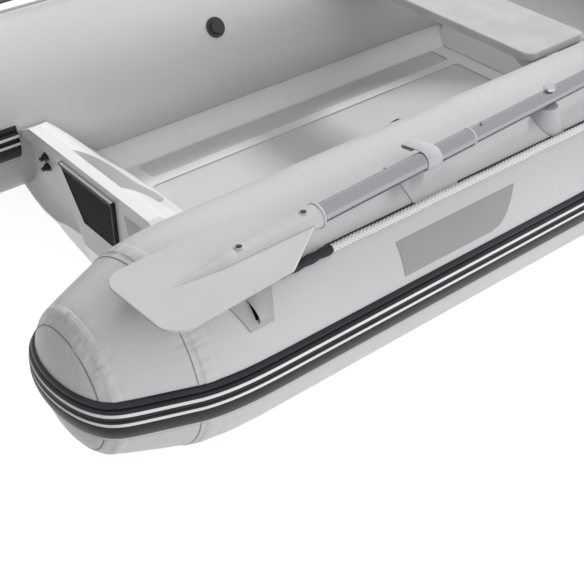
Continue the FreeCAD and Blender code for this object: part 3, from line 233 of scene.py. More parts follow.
def seamFolds(tree, seam, reach):
    # height of the fine folds that run across a seam, fading out on both sides of it
    settings = fabricSettings
    alongBoat = feedNode(tree, "ShaderNodeSeparateXYZ", objectPlace(tree))
    away = combine(tree, "ABSOLUTE", combine(tree, "SUBTRACT", alongBoat, seam))
    near = remap(tree, away, 0.0, reach, 1.0, 0.0)
    folds = noise(tree, objectPlace(tree, (settings["foldStretch"], 1.0, 1.0)), settings["folds"], 1.5)
    return combine(tree, "MULTIPLY", near, remap(tree, folds, 0.0, 1.0, -0.5, 0.5))


def makeTubeFabric(name, colour, shade, roughness):
    settings = fabricSettings
    material, tree, shader = newMaterial(name, colour, roughness)
    place = objectPlace(tree)
    broad = noise(tree, place, settings["grime"], 4.0)
    fine = noise(tree, place, settings["mottle"], 6.0)
    tone = blotches(tree, broad, 0.3, 0.7, colour, shade)
    fleck = blotches(tree, fine, 0.35, 0.75, tone, shade, settings["mottleShare"])
    varyGloss(tree, shader, fine, roughness, 0.05, 0.07)
    normal = bumpFrom(tree, noise(tree, place, settings["softWave"], 2.0), settings["softDepth"], 0.35)
    for seam, reach in settings["seams"]:
        normal = bumpFrom(tree, seamFolds(tree, seam, reach), settings["foldDepth"], 0.8, normal)
    normal = bumpFrom(tree, noise(tree, place, settings["weave"], 1.0), settings["weaveDepth"], 0.5, normal)
    dress(tree, shader, fleck, normal)
    return material


def makeStrakeRubber():
    settings = {"colour": (0.014, 0.0155, 0.0185), "worn": (0.027, 0.029, 0.033), "roughness": 0.40,
                "specular": 0.3, "grain": 420.0, "grainDepth": 0.0001, "wear": 14.0, "wearStretch": 0.25}
    material, tree, shader = newMaterial("strakeRubber", settings["colour"], settings["roughness"],
                                         specular=settings["specular"])
    along = objectPlace(tree, (settings["wearStretch"], 1.0, 1.0))
    worn = blotches(tree, noise(tree, along, settings["wear"], 5.0), 0.45, 0.75, settings["colour"],
                    settings["worn"])
    grain = noise(tree, objectPlace(tree), settings["grain"], 2.0)
    varyGloss(tree, shader, grain, settings["roughness"], 0.04, 0.10)
    dress(tree, shader, worn, bumpFrom(tree, grain, settings["grainDepth"], 0.4))
    return material


def makeStripeRubber():
    settings = {"colour": (0.80, 0.80, 0.79), "dull": (0.66, 0.66, 0.65), "roughness": 0.4,
                "dirt": 22.0, "stretch": 0.3, "grain": 300.0, "grainDepth": 0.0001}
    material, tree, shader = newMaterial("stripeRubber", settings["colour"], settings["roughness"])
    along = objectPlace(tree, (settings["stretch"], 1.0, 1.0))
    dirt = blotches(tree, noise(tree, along, settings["dirt"], 5.0), 0.5, 0.8, settings["colour"],
                    settings["dull"])
    grain = noise(tree, along, settings["grain"], 2.0)
    dress(tree, shader, dirt, bumpFrom(tree, grain, settings["grainDepth"], 0.4))
    return material


def makeGelcoat(name, colour, shade):
    settings = {"roughness": 0.34, "cloud": 3.0, "smears": 9.0, "coat": 0.25, "coatRoughness": 0.12}
    material, tree, shader = newMaterial(name, colour, settings["roughness"])
    shader.inputs["Coat Weight"].default_value = settings["coat"]
    shader.inputs["Coat Roughness"].default_value = settings["coatRoughness"]
    place = objectPlace(tree)
    cloud = blotches(tree, noise(tree, place, settings["cloud"], 4.0), 0.35, 0.7, colour, shade)
    dress(tree, shader, cloud)
    varyGloss(tree, shader, noise(tree, place, settings["smears"], 3.0), settings["roughness"], 0.03, 0.06)
    return material


def makeLinerGelcoat():
    # light gelcoat, with darker non-slip panels on everything that lies below the floor's face
    settings = {"colour": (0.81, 0.81, 0.80), "shade": (0.75, 0.75, 0.74), "panel": (0.60, 0.605, 0.60),
                "panelFace": 0.0478, "faceBlend": 0.0006, "panelAft": -0.642, "aftBlend": 0.002,
                "dots": 430.0, "dotDepth": 0.0008, "smooth": 0.34, "gritty": 0.6}
    material = makeGelcoat("linerGelcoat", settings["colour"], settings["shade"])
    tree = material.node_tree
    shader = tree.nodes["Principled BSDF"]
    gelcoat = shader.inputs["Base Color"].links[0].from_socket
    place = objectPlace(tree)
    parts = addNode(tree, "ShaderNodeSeparateXYZ")
    tree.links.new(place, parts.inputs[0])
    face, blend, aft = settings["panelFace"], settings["faceBlend"], settings["panelAft"]
    sunk = remap(tree, parts.outputs["Z"], face + blend, face - blend, 0.0, 1.0)
    inCockpit = remap(tree, parts.outputs["X"], aft, aft + settings["aftBlend"], 0.0, 1.0)
    onPanel = combine(tree, "MULTIPLY", sunk, inCockpit)
    dots = feedNode(tree, "ShaderNodeTexVoronoi", place, Scale=settings["dots"])
    grit = combine(tree, "MULTIPLY", dots, onPanel)
    dress(tree, shader, mixColours(tree, onPanel, gelcoat, settings["panel"]),
          bumpFrom(tree, grit, settings["dotDepth"], 0.5))
    tree.links.new(remap(tree, onPanel, 0.0, 1.0, settings["smooth"], settings["gritty"]),
                   shader.inputs["Roughness"])
    return material


def makeMoulded(name, colour, roughness, edge=0.0012, grain=260.0, depth=0.00012, specular=0.45, vary=1.0):
    # moulded plastic or rubber with a fine grain and softened edges
    settings = {"cloud": 12.0, "cloudShade": 0.14, "gloss": 60.0}
    material, tree, shader = newMaterial(name, colour, roughness, specular=specular)
    place = objectPlace(tree)
    shade = tuple(channel * (1.0 - settings["cloudShade"] * vary) for channel in colour)
    cloud = blotches(tree, noise(tree, place, settings["cloud"], 5.0), 0.35, 0.7, colour, shade)
    varyGloss(tree, shader, noise(tree, place, settings["gloss"], 4.0), roughness, 0.05 * vary, 0.08 * vary)
    edges = feedNode(tree, "ShaderNodeBevel", Radius=edge, samples=4)
    dress(tree, shader, cloud, bumpFrom(tree, noise(tree, place, grain, 2.0), depth, 0.5, edges))
    return material


def makeMetal(name, colour, roughness, streaks):
    # drawn tube or turned steel, with fine lines along its length
    settings = {"lines": 520.0, "tone": 60.0, "toneShade": 0.96}
    material, tree, shader = newMaterial(name, colour, roughness, metallic=1.0)
    along = objectPlace(tree, (streaks, 1.0, 1.0))
    varyGloss(tree, shader, noise(tree, along, settings["lines"], 3.0), roughness, 0.02, 0.03)
    shade = tuple(channel * settings["toneShade"] for channel in colour)
    tone = blotches(tree, noise(tree, along, settings["tone"], 3.0), 0.35, 0.7, colour, shade)
    dress(tree, shader, tone)
    return material


def makeRopeFibre():
    # pale fibre, grey in the hollows between the strands as painted shade, and greyed at random by dust
    settings = {"strand": (0.86, 0.86, 0.85), "hollow": (0.54, 0.54, 0.535), "roughness": 0.75,
                "specular": 0.25, "dust": 35.0, "dustShare": 0.25, "fibre": 1400.0, "fibreDepth": 0.0002}
    strand, hollow = settings["strand"], settings["hollow"]
    material, tree, shader = newMaterial("ropeFibre", strand, settings["roughness"],
                                         specular=settings["specular"])
    depth = addNode(tree, "ShaderNodeAttribute", attribute_name="strandDepth")
    place = objectPlace(tree)
    # painted shade: the colour goes to the shade grey where the strands sink into hollows
    strands = blotches(tree, depth.outputs["Fac"], 0.1, 0.75, hollow, strand)
    # dust greys the rope at random, towards the same grey as the painted shade
    dusty = blotches(tree, noise(tree, place, settings["dust"], 4.0), 0.4, 0.75, strands, hollow,
                     settings["dustShare"])
    fibre = noise(tree, place, settings["fibre"], 2.0)
    dress(tree, shader, dusty, bumpFrom(tree, fibre, settings["fibreDepth"], 0.5))
    return material


fabricFinishes = {
    # colour, its shade in the blotches, and roughness
    "tubeFabric": ((0.585, 0.59, 0.59), (0.535, 0.542, 0.545), 0.36),
    "patchFabric": ((0.535, 0.545, 0.55), (0.49, 0.50, 0.505), 0.46),
    "eyeFabric": ((0.44, 0.44, 0.435), (0.40, 0.40, 0.395), 0.46),
    "badgeFabric": ((0.335, 0.34, 0.34), (0.30, 0.305, 0.31), 0.5),
}
mouldedFinishes = {
    "padPlastic": {"colour": (0.004, 0.004, 0.006), "roughness": 0.36, "specular": 0.10},
    "bladePlastic": {"colour": (0.545, 0.55, 0.55), "roughness": 0.42, "edge": 0.002, "grain": 520.0,
                     "depth": 0.00002, "specular": 0.4, "vary": 0.35},
    "gripRubber": {"colour": (0.03, 0.03, 0.032), "roughness": 0.55},
    "sleeveRubber": {"colour": (0.022, 0.024, 0.027), "roughness": 0.5, "grain": 420.0, "depth": 0.0004,
                     "specular": 0.3},
    "fittingPlastic": {"colour": (0.50, 0.51, 0.515), "roughness": 0.42, "edge": 0.002},
    # pale colour of the painted highlight on the motor pad's top edge
    "padEdgeHighlight": {"colour": (0.88, 0.88, 0.87), "roughness": 0.4, "vary": 0.3},
    "padKnurl": {"colour": (0.005, 0.005, 0.010), "roughness": 0.34, "specular": 0.22},
    "boltBlack": {"colour": (0.008, 0.008, 0.009), "roughness": 0.16, "specular": 0.6, "vary": 0.3},
    "darkPlastic": {"colour": (0.03, 0.031, 0.034), "roughness": 0.4},
    # dark lines along the edges of tapes and strips: painted shade
    "edgeShadeLine": {"colour": (0.22, 0.225, 0.23), "roughness": 0.5, "edge": 0.0003},
}
metalFinishes = {
    # colour, roughness, and how far the streaks are drawn out along the piece
    "shaftAluminium": ((0.345, 0.355, 0.37), 0.21, 0.03),
    "pinSteel": ((0.55, 0.55, 0.56), 0.25, 1.0),
}
materials = {
    "strakeRubber": makeStrakeRubber(),
    "stripeRubber": makeStripeRubber(),
    "hullGelcoat": makeGelcoat("hullGelcoat", (0.84, 0.84, 0.83), (0.78, 0.78, 0.775)),
    "linerGelcoat": makeLinerGelcoat(),
    "ropeFibre": makeRopeFibre(),
}
materials.update({name: makeTubeFabric(name, *finish) for name, finish in fabricFinishes.items()})
materials.update({name: makeMoulded(name, **finish) for name, finish in mouldedFinishes.items()})
materials.update({name: makeMetal(name, *finish) for name, finish in metalFinishes.items()})
print("materials ready")

# the longest ending that fits a node's name gives its finish
nodeFinish = {
    "side_tube": "tubeFabric", "tail_cone": "tubeFabric", "end_cap": "tubeFabric", "bow_tube": "tubeFabric",
    "rub_strake": "strakeRubber", "strake_stripes": "stripeRubber",
    "hull_bottom": "hullGelcoat", "transom": "hullGelcoat", "cockpit_liner": "linerGelcoat",
    "motor_pad": "padPlastic", "oar_blade": "bladePlastic", "oar_shaft": "shaftAluminium",
    "oar_loom": "shaftAluminium", "oar_grip": "gripRubber",
    "rowlock_base": "fittingPlastic", "rowlock_pin": "pinSteel",
    "badge_patch": "badgeFabric", "lifeline_sleeve": "sleeveRubber", "lifeline": "ropeFibre",
    "rope_eyes": "eyeFabric", "oar_strap": "patchFabric", "strap_patch": "tubeFabric",
    "thwart_saddles": "patchFabric", "thwart": "fittingPlastic", "bow_handle": "darkPlastic",
    "air_valve": "darkPlastic", "towing_eye": "pinSteel",
}
for nodeName, nodeObject in nodes.items():
    ending = max((key for key in nodeFinish if nodeName.endswith(key)), key=len)
    if not nodeObject.material_slots:
        nodeObject.data.materials.append(materials[nodeFinish[ending]])
    for materialSlot in nodeObject.material_slots:
        materialSlot.material = materials[nodeFinish[ending]]


# Shape of a tube's tail, so that strakes and tapes lie on it

stationSettings = {"taper": 14, "taperLate": 1.2, "cone": 16, "coneLate": 1.7, "cap": 14, "bow": 49,
                   "turnGap": 0.01, "deepest": 0.06, "halvings": 24}


def tailRadius(place):
    # half width of the tube in plan, from the straight part to the seam of the end cap
    if place >= tube["coneSeam"]:
        run = max((tube["taperStart"] - place) / (tube["taperStart"] - tube["coneSeam"]), 0.0)
        return tube["radius"] - (tube["radius"] - tube["coneSeamRadius"]) * run ** tube["taperPower"]
    depth = tube["coneSeam"] - place
    share = depth / (tube["coneSeam"] - tube["capSeam"])
    drop = tube["coneSlope"] * depth + tube["shoulderDrop"] * share ** tube["shoulderPower"]
    return tube["coneSeamRadius"] - drop


def tailSwell(place):
    # how much taller than wide the tail is at this place
    share = (tube["coneSeam"] - place) / (tube["coneSeam"] - tube["capSeam"])
    return 1.0 + (tube["coneSwell"] - 1.0) * min(max(share, 0.0), 1.0)


capCentre = tube["tailTip"] + tube["capLength"]
capShare = (tube["capSeam"] - capCentre) / tube["capLength"]
capHalf = tailRadius(tube["capSeam"]) / math.sqrt(1.0 - capShare ** 2)


def outsideTail(place, across, up):
    if place >= tube["capSeam"]:
        return across ** 2 + (up / tailSwell(place)) ** 2 - tailRadius(place) ** 2
    reach = (place - capCentre) / tube["capLength"]
    return reach ** 2 + (across / capHalf) ** 2 + (up / (capHalf * tube["coneSwell"])) ** 2 - 1.0


def sinkDepth(point, normal, up):
    # how far in from the plan outline the tube's surface lies at this height
    near, deep = 0.0, stationSettings["deepest"]
    for halving in range(stationSettings["halvings"]):
        middle = (near + deep) / 2
        probe = point - normal * middle
        if outsideTail(probe.x, probe.y, up) > 0:
            near = middle
        else:
            deep = middle
    return near


def easedPlaces(first, last, count, late=1.0):
    return [last + (first - last) * (1 - step / (count - 1)) ** late for step in range(count)]


def tailOutline(strakeEnd):
    # the tube in plan with its axis at zero: out along its outboard side, round the cap and back inboard
    settings = stationSettings
    outline = [Vector((tube["bowStart"], tube["radius"], 0.0))]
    outline += [Vector((place, tailRadius(place), 0.0))
                for place in easedPlaces(tube["taperStart"], tube["coneSeam"], settings["taper"],
                                         settings["taperLate"])]
    outline += [Vector((place, tailRadius(place), 0.0))
                for place in easedPlaces(tube["coneSeam"], tube["capSeam"], settings["cone"],
                                         settings["coneLate"])[1:]]
    seamAngle = math.asin((capCentre - tube["capSeam"]) / tube["capLength"])
    for angle in easedPlaces(seamAngle, math.pi / 2, settings["cap"])[1:-1]:
        place = capCentre - tube["capLength"] * math.sin(angle)
        outline.append(Vector((place, capHalf * math.cos(angle), 0.0)))
    inboard = [Vector((point.x, -point.y, 0.0)) for point in reversed(outline)
               if point.x < strakeEnd - settings["turnGap"]]
    outline.append(Vector((tube["tailTip"], 0.0, 0.0)))
    return outline + inboard + [Vector((strakeEnd, -tailRadius(strakeEnd), 0.0))]


def stationsAt(pointAt, places):
    # one station for each place: a call that turns the two numbers of a section into a point
    return [lambda first, second, place=place: pointAt(place, first, second) for place in places]


def fullTurn(steps):
    return [2 * math.pi * step / steps for step in range(steps + 1)]


def tubePoint(side, place, degrees, lift):
    # a point off the straight tube, from its place along the boat and the angle up from outboard
    angle = math.radians(degrees)
    reach = tube["radius"] + lift
    return Vector((place, side * (tube["offset"] + reach * math.cos(angle)),
                   tube["height"] + reach * math.sin(angle)))


def sideStations(side, strakeEnd):
    # round a side tube in plan, for sections in height and lift
    outline = tailOutline(strakeEnd)
    normals = [Vector((0.0, 1.0, 0.0))]
    for index in range(1, len(outline)):
        along = (outline[min(index + 1, len(outline) - 1)] - outline[index - 1]).normalized()
        normals.append(Vector((along.y, -along.x, 0.0)))
    sinks = {}

    def pointAt(index, up, lift):
        if (index, up) not in sinks:
            sinks[index, up] = sinkDepth(outline[index], normals[index], up)
        spot = outline[index] + normals[index] * (lift - sinks[index, up])
        return Vector((spot.x, side * (tube["offset"] + spot.y), tube["height"] + up))

    return stationsAt(pointAt, range(len(outline)))


def bowFrame(turn):
    # axis, outward and upward directions of the bow tube; half a turn leads from port to starboard
    centre = Vector((tube["bowStart"] + tube["bowReach"] * math.sin(turn), tube["offset"] * math.cos(turn),
                     tube["height"] + tube["bowSheer"] * math.sin(turn) ** 2))
    forward = Vector((tube["bowReach"] * math.cos(turn), -tube["offset"] * math.sin(turn),
                      2 * tube["bowSheer"] * math.sin(turn) * math.cos(turn))).normalized()
    outward = Vector((0.0, 0.0, 1.0)).cross(forward).normalized()
    return centre, outward, forward.cross(outward)


def bowStations():
    def pointAt(turn, up, lift):
        centre, outward, upward = bowFrame(turn)
        return centre + outward * (math.sqrt(tube["radius"] ** 2 - up ** 2) + lift) + upward * up

    last = stationSettings["bow"] - 1
    return stationsAt(pointAt, [math.pi * step / last for step in range(last + 1)])


def sweepSection(stations, section, closed=False):
    # a ring of points is placed at the first station, then extruded from station to station; a closed
    # run is merged where it meets its start, and the ends of the others are filled
    clearSelection()
    bpy.ops.mesh.primitive_circle_add(vertices=len(section), radius=0.01, fill_type="NOTHING")
    piece = bpy.context.object
    editWhole()
    for index, at in enumerate(stations):
        if index:
            bpy.ops.mesh.extrude_region_move()
        mesh = bmesh.from_edit_mesh(piece.data)
        ring = [vertex for vertex in mesh.verts if vertex.select]
        for vertex, (first, second) in zip(ring, section):
            vertex.co = at(first, second)
        bmesh.update_edit_mesh(piece.data)
    bpy.ops.mesh.select_all(action="SELECT")
    if closed:
        bpy.ops.mesh.remove_doubles(threshold=2 * mergeDistance)
    else:
        bpy.ops.mesh.fill_holes(sides=0)
    bpy.ops.object.mode_set(mode="OBJECT")
    return piece


# Rub strake: a moulded section with two grooves for the pale stripes

strakeSettings = {
    "inboardEnd": -0.914,
    # height above the tube's axis and lift off the tube, in millimetres, round the section
    "section": [
        (47.0, 0.4), (46.6, 3.6), (45.4, 5.2), (42.5, 6.2), (38.6, 6.8), (37.2, 6.2), (36.4, 4.6),
        (35.6, 2.4), (34.6, 2.6), (33.9, 6.4), (33.0, 8.4), (31.2, 9.7), (28.6, 10.2), (27.9, 9.6),
        (27.6, 8.0), (20.4, 8.0), (20.1, 9.6), (19.2, 10.6), (17.0, 10.9), (15.2, 10.2), (14.4, 8.0),
        (14.0, 6.4), (13.6, 8.0), (12.8, 10.2), (10.6, 11.0), (8.6, 10.6), (7.9, 9.6), (7.6, 8.0),
        (0.4, 8.0), (0.1, 9.6), (-0.8, 10.7), (-4.0, 11.2), (-9.0, 11.2), (-15.0, 10.6), (-22.0, 9.2),
        (-28.0, 7.4), (-33.0, 5.2), (-35.4, 3.2), (-36.0, 0.4), (-26.0, 0.4), (-13.0, 0.4), (0.0, 0.4),
        (13.0, 0.4), (26.0, 0.4), (37.0, 0.4)],
    # each stripe in its groove, with heights from the groove's middle
    "stripeMiddles": (24.0, 4.0),
    "stripe": [(3.45, 7.6), (3.45, 9.4), (2.65, 9.9), (0.0, 10.25), (-2.65, 9.9), (-3.45, 9.4), (-3.45, 7.6)],
    # bonding strip that shows below the strake, and a dark line along its foot that is painted shade at the
    # strip's edge
    "strip": [(-34.0, 0.1), (-34.0, 0.9), (-39.0, 0.9), (-43.4, 0.9), (-44.0, 0.36), (-44.0, 0.1),
              (-39.0, 0.1)],
    "edgeShade": [(-43.8, 0.1), (-43.8, 0.63), (-44.5, 0.63), (-45.1, 0.1)],
}


def inMetres(section, middle=0.0):
    return [((middle + first) / 1000.0, second / 1000.0) for first, second in section]


def addStrake(prefix, stations):
    settings = strakeSettings
    strake = sweepSection(stations, inMetres(settings["section"]))
    finishPiece(strake, prefix + "_strake_moulding", "strakeRubber", 40.0,
                (prefix + "_rub_strake",))
    parts = [sweepSection(stations, inMetres(settings["stripe"], middle))
             for middle in settings["stripeMiddles"]]
    finishPiece(joinPieces(parts), prefix + "_stripe_inlay", "stripeRubber", 40.0,
                (prefix + "_strake_stripes",))
    # the dark line along the strip's foot is painted shade at its edge
    for key, label, finish in (("strip", "_strake_tape", "tubeFabric"), ("edgeShade", "_tape_edge_shade", "edgeShadeLine")):
        strip = sweepSection(stations, inMetres(settings[key]))
        finishPiece(strip, prefix + label, finish, 30.0)


for sideName, side in sides.items():
    addStrake(sideName, sideStations(side, strakeSettings["inboardEnd"]))
addStrake("bow", bowStations())
print("rub strakes ready")


# Tapes round the seams of the tail, with fine laps and puckers, and dark lines of painted shade along their
# edges and laps

seamSettings = {
    # place along the boat and lift off the tube, in millimetres, round each tape's section
    "coneTape": [
        (-1112.4, 0.05), (-1112.2, 0.7), (-1108.0, 0.8), (-1100.5, 0.8), (-1099.6, 1.5), (-1096.0, 1.6),
        (-1090.0, 1.5), (-1084.0, 1.5), (-1081.2, 1.4), (-1080.6, 0.7), (-1074.0, 0.6), (-1072.5, 0.05)],
    "capTape": [
        (-1268.2, 0.05), (-1268.0, 0.8), (-1264.0, 0.9), (-1258.0, 0.8), (-1252.6, 0.8), (-1252.0, 1.5),
        (-1247.0, 1.6), (-1243.0, 1.5), (-1242.3, 0.8), (-1236.0, 0.7), (-1234.6, 0.05)],
    # dark lines of painted shade at the tapes' edges and laps, from and to places along the boat in
    # millimetres
    "edgeShadeLines": ((-1113.0, -1111.6), (-1100.4, -1099.2), (-1268.9, -1267.5)),
    "edgeShadeFoot": 0.05, "edgeShadeLift": 0.9, "steps": 144,
    "pucker": 0.0011, "puckerSize": 0.022, "puckerLevel": 0.45,
}


def ringStations(side):
    # round a tail from its outboard side, for sections in place along the boat and lift
    def pointAt(turn, place, lift):
        radius = tailRadius(place) + lift
        return Vector((place, side * (tube["offset"] + radius * math.cos(turn)),
                       tube["height"] + radius * tailSwell(place) * math.sin(turn)))

    return stationsAt(pointAt, fullTurn(seamSettings["steps"]))


def pucker(piece):
    clouds = bpy.data.textures.new("puckers", type="CLOUDS")
    clouds.noise_scale = seamSettings["puckerSize"]
    addModifier(piece, "DISPLACE", texture=clouds, texture_coords="LOCAL", strength=seamSettings["pucker"],
                mid_level=seamSettings["puckerLevel"])


def addSeams(sideName, side):
    settings = seamSettings
    stations = ringStations(side)
    for label in ("cone", "cap"):
        tape = sweepSection(stations, inMetres(settings[label + "Tape"]), closed=True)
        pucker(tape)
        finishPiece(tape, f"{sideName}_{label}_seam_tape", "tubeFabric", 50.0)
    # dark strips of painted shade along the tapes' edges and laps
    parts = []
    foot, lift = settings["edgeShadeFoot"], settings["edgeShadeLift"]
    for aft, fore in settings["edgeShadeLines"]:
        section = [(aft, foot), (aft, lift), (fore, lift), (fore, foot)]
        parts.append(sweepSection(stations, inMetres(section), closed=True))
    finishPiece(joinPieces(parts), f"{sideName}_seam_edge_shade", "edgeShadeLine", 50.0)


for sideName, side in sides.items():
    addSeams(sideName, side)
print("seams ready")


# Lifelines: braided rope, and ribbed sleeves over its aft ends

ropeSettings = {
    "angle": 48.5, "aft": -0.779, "fore": 0.317, "radius": 0.0081, "lift": 0.0096,
    "round": 36, "step": 0.0013, "strands": 6, "pitch": 0.0095, "depth": 0.0018,
    "crossing": 0.3, "evenHeight": 0.8, "drift": 0.0005, "shortDrift": 0.6, "driftLength": 0.27,
    # painted shadow: a dark strip along the rope's inboard edge, where the rope's shadow falls on the tube:
    # millimetres up from the rope's middle, and lift
    "seat": [(2.0, 0.2), (2.0, 0.8), (7.6, 0.8), (12.2, 0.8), (13.2, 0.2)], "shadowStripSteps": 41,
}
sleeveSettings = {
    "aft": -0.940, "fore": -0.776, "radius": 0.0094, "round": 28, "step": 0.0009,
    "pitch": 0.0062, "depth": 0.0011, "ribPower": 0.6, "evenRib": 0.6,
    "crush": 0.0009, "crushRate": 173.0, "lipLength": 0.002, "lipIn": 0.18,
}


def wrapGrid(rows, columns, place, heightAt=None):
    # a grid is rolled round a line; place gives each point from its two shares
    clearSelection()
    bpy.ops.mesh.primitive_grid_add(x_subdivisions=columns, y_subdivisions=rows, size=1.0)
    piece = bpy.context.object
    if heightAt:
        heights = piece.data.attributes.new("strandDepth", "FLOAT", "POINT")
        for vertex, item in zip(piece.data.vertices, heights.data):
            item.value = heightAt(vertex.co.y + 0.5, vertex.co.x + 0.5)
    for vertex in piece.data.vertices:
        vertex.co = place(vertex.co.y + 0.5, vertex.co.x + 0.5)
    editWhole()
    bpy.ops.mesh.remove_doubles(threshold=4 * mergeDistance)
    bpy.ops.mesh.fill_holes(sides=0)
    bpy.ops.object.mode_set(mode="OBJECT")
    return piece


def ropePoint(side, place, around, radius):
    # a point round the lifeline, from its place along the boat and its distance from the rope's middle
    settings = ropeSettings
    angle = math.radians(settings["angle"])
    off = Vector((0.0, side * math.cos(angle), math.sin(angle)))
    skin = Vector((0.0, -side * math.sin(angle), math.cos(angle)))
    wave = place * math.pi / settings["driftLength"]
    drift = settings["drift"] * (math.sin(2 * wave) + settings["shortDrift"] * math.sin(5.3 * wave + 1.0))
    reach = tube["radius"] + settings["lift"]
    middle = Vector((place, side * tube["offset"], tube["height"])) + off * reach + skin * drift
    turn = 2 * math.pi * around
    return middle + off * (radius * math.cos(turn)) + skin * (radius * math.sin(turn))


def addLifeline(sideName, side):
    settings = ropeSettings
    length = settings["fore"] - settings["aft"]
    rows = int(length / settings["step"])

    def strandHeight(along, around):
        spot = settings["aft"] + along * length
        first = math.sin(math.pi * (settings["strands"] * around + spot / settings["pitch"]))
        second = math.sin(math.pi * (settings["strands"] * around - spot / settings["pitch"]))
        crossing = settings["crossing"]
        return (1.0 - crossing) * min(abs(first), abs(second)) + crossing * abs(first * second)

    def place(along, around):
        height = strandHeight(along, around) - settings["evenHeight"]
        radius = settings["radius"] + settings["depth"] * height
        return ropePoint(side, settings["aft"] + along * length, around, radius)

    rope = wrapGrid(rows, settings["round"], place, strandHeight)
    finishPiece(rope, f"{sideName}_braided_lifeline", "ropeFibre", 70.0,
                (f"{sideName}_lifeline",))


def addRopeShadowStrip(sideName, side):
    settings = ropeSettings

    def pointAt(place, skin, lift):
        return tubePoint(side, place, settings["angle"] + math.degrees(skin / tube["radius"]), lift)

    places = easedPlaces(settings["aft"], settings["fore"], settings["shadowStripSteps"])
    # a dark strip on the tube beside the rope, standing in for the rope's shadow
    strip = sweepSection(stationsAt(pointAt, places), inMetres(settings["seat"]))
    finishPiece(strip, f"{sideName}_rope_shadow_strip", "darkPlastic", 50.0)


def addSleeve(sideName, side):
    settings = sleeveSettings
    length = settings["fore"] - settings["aft"]
    rows = int(length / settings["step"])

    def place(along, around):
        spot = settings["aft"] + along * length
        rib = 0.5 + 0.5 * math.cos(2 * math.pi * spot / settings["pitch"])
        wrinkle = math.sin(spot * settings["crushRate"] + 3.0 * math.cos(2 * math.pi * around))
        lip = min(min(along, 1.0 - along) * length / settings["lipLength"], 1.0) ** 0.5
        ribbed = settings["radius"] + settings["depth"] * (rib ** settings["ribPower"] - settings["evenRib"])
        radius = ribbed * (1.0 - settings["lipIn"] * (1.0 - lip)) + settings["crush"] * wrinkle * lip
        return ropePoint(side, spot, around, radius)

    sleeve = wrapGrid(rows, settings["round"], place)
    finishPiece(sleeve, f"{sideName}_ribbed_sleeve", "sleeveRubber", 60.0,
                (f"{sideName}_lifeline_sleeve",))


for sideName, side in sides.items():
    addLifeline(sideName, side)
    addRopeShadowStrip(sideName, side)
    addSleeve(sideName, side)
print("lifelines ready")


# Rope eyes: a raised hood on each patch, with a dark sheet under it as painted shade of the hollow

eyeSettings = {
    "aft": -0.9795, "fore": -0.947, "forwardEye": 0.345, "low": 31.5, "high": 45.0, "steps": 20,
    "base": 0.0026, "rise": 0.0105, "crest": 0.66, "arch": 0.8, "runOut": 0.75, "sheet": 0.0014,
    "lean": 0.006, "twist": 1.2,
    # near-black sheet under the hood, painted shade of its hollow: degrees round the tube, and lift
    "hollow": [(33.5, 0.0010), (33.5, 0.0031), (41.0, 0.0031), (44.5, 0.0031), (44.5, 0.0010)],
    "hollowPlaces": (-0.977, -0.9755, -0.962),
}


def addEyeHood(sideName, side, label, mirrored):
    settings = eyeSettings
    length = settings["fore"] - settings["aft"]
    middle = (settings["aft"] + settings["fore"]) / 2

    def along(place):
        return settings["forwardEye"] - (place - middle) if mirrored else place

    def hoodPlace(share, across):
        # the hood stands up along its open edge and runs out flat at the other
        arch = math.sin(math.pi * across ** settings["crest"]) ** settings["arch"] if 0 < across < 1 else 0.0
        fall = (1 - share) ** settings["runOut"] * (1.0 - 0.25 * share)
        lean = settings["lean"] * (1 - across)
        place = settings["aft"] + lean + share * (length - lean * 0.5)
        degrees = settings["low"] + across * (settings["high"] - settings["low"]) + settings["twist"] * share
        return tubePoint(side, along(place), degrees, settings["base"] + settings["rise"] * arch * fall)

    clearSelection()
    bpy.ops.mesh.primitive_grid_add(x_subdivisions=settings["steps"], y_subdivisions=settings["steps"],
                                    size=1.0)
    hood = bpy.context.object
    for vertex in hood.data.vertices:
        vertex.co = hoodPlace(vertex.co.x + 0.5, vertex.co.y + 0.5)
    addModifier(hood, "SOLIDIFY", thickness=settings["sheet"], offset=0.0)
    finishPiece(hood, f"{sideName}_{label}_eye_hood", "eyeFabric", 50.0)

    def hollowPoint(place, degrees, lift):
        return tubePoint(side, along(place), degrees, lift)

    # a near-black sheet under the hood's open edge stands in for the shade in the hollow
    hollow = sweepSection(stationsAt(hollowPoint, settings["hollowPlaces"]), settings["hollow"])
    finishPiece(hollow, f"{sideName}_{label}_eye_hollow", "padPlastic", 50.0)


for sideName, side in sides.items():
    addEyeHood(sideName, side, "aft", False)
    addEyeHood(sideName, side, "forward", True)
print("rope eyes ready")


# Oars: screws in the blade's socket, and the ring where shaft and loom meet

oarSettings = {
    "pin": (-0.120, 0.6139, 0.4507), "yaw": 1.92, "pitch": 0.92,
    "screws": ((-0.848, 0.0190), (-0.698, 0.0233)), "head": 0.0060, "headFlat": 0.42, "headSink": 0.0012,
    "seat": 0.0073, "seatThick": 0.0013, "seatSink": 0.0004,
    # place along the oar and distance from its axis, in millimetres, round the ring's section
    "ferrule": [(-253.5, 19.6), (-252.9, 20.2), (-248.3, 20.2), (-247.5, 19.6), (-247.3, 18.0),
                (-249.5, 18.0), (-253.5, 18.0)],
    "ferruleSteps": 48,
}


def oarMatrix(side):
    # the oar's own frame: its length along X, from the rowlock pin
    x, y, z = oarSettings["pin"]
    turn = Matrix.Rotation(math.radians(-side * oarSettings["yaw"]), 4, "Z")
    tilt = Matrix.Rotation(math.radians(-oarSettings["pitch"]), 4, "Y")
    return Matrix.Translation((x, side * y, z)) @ turn @ tilt


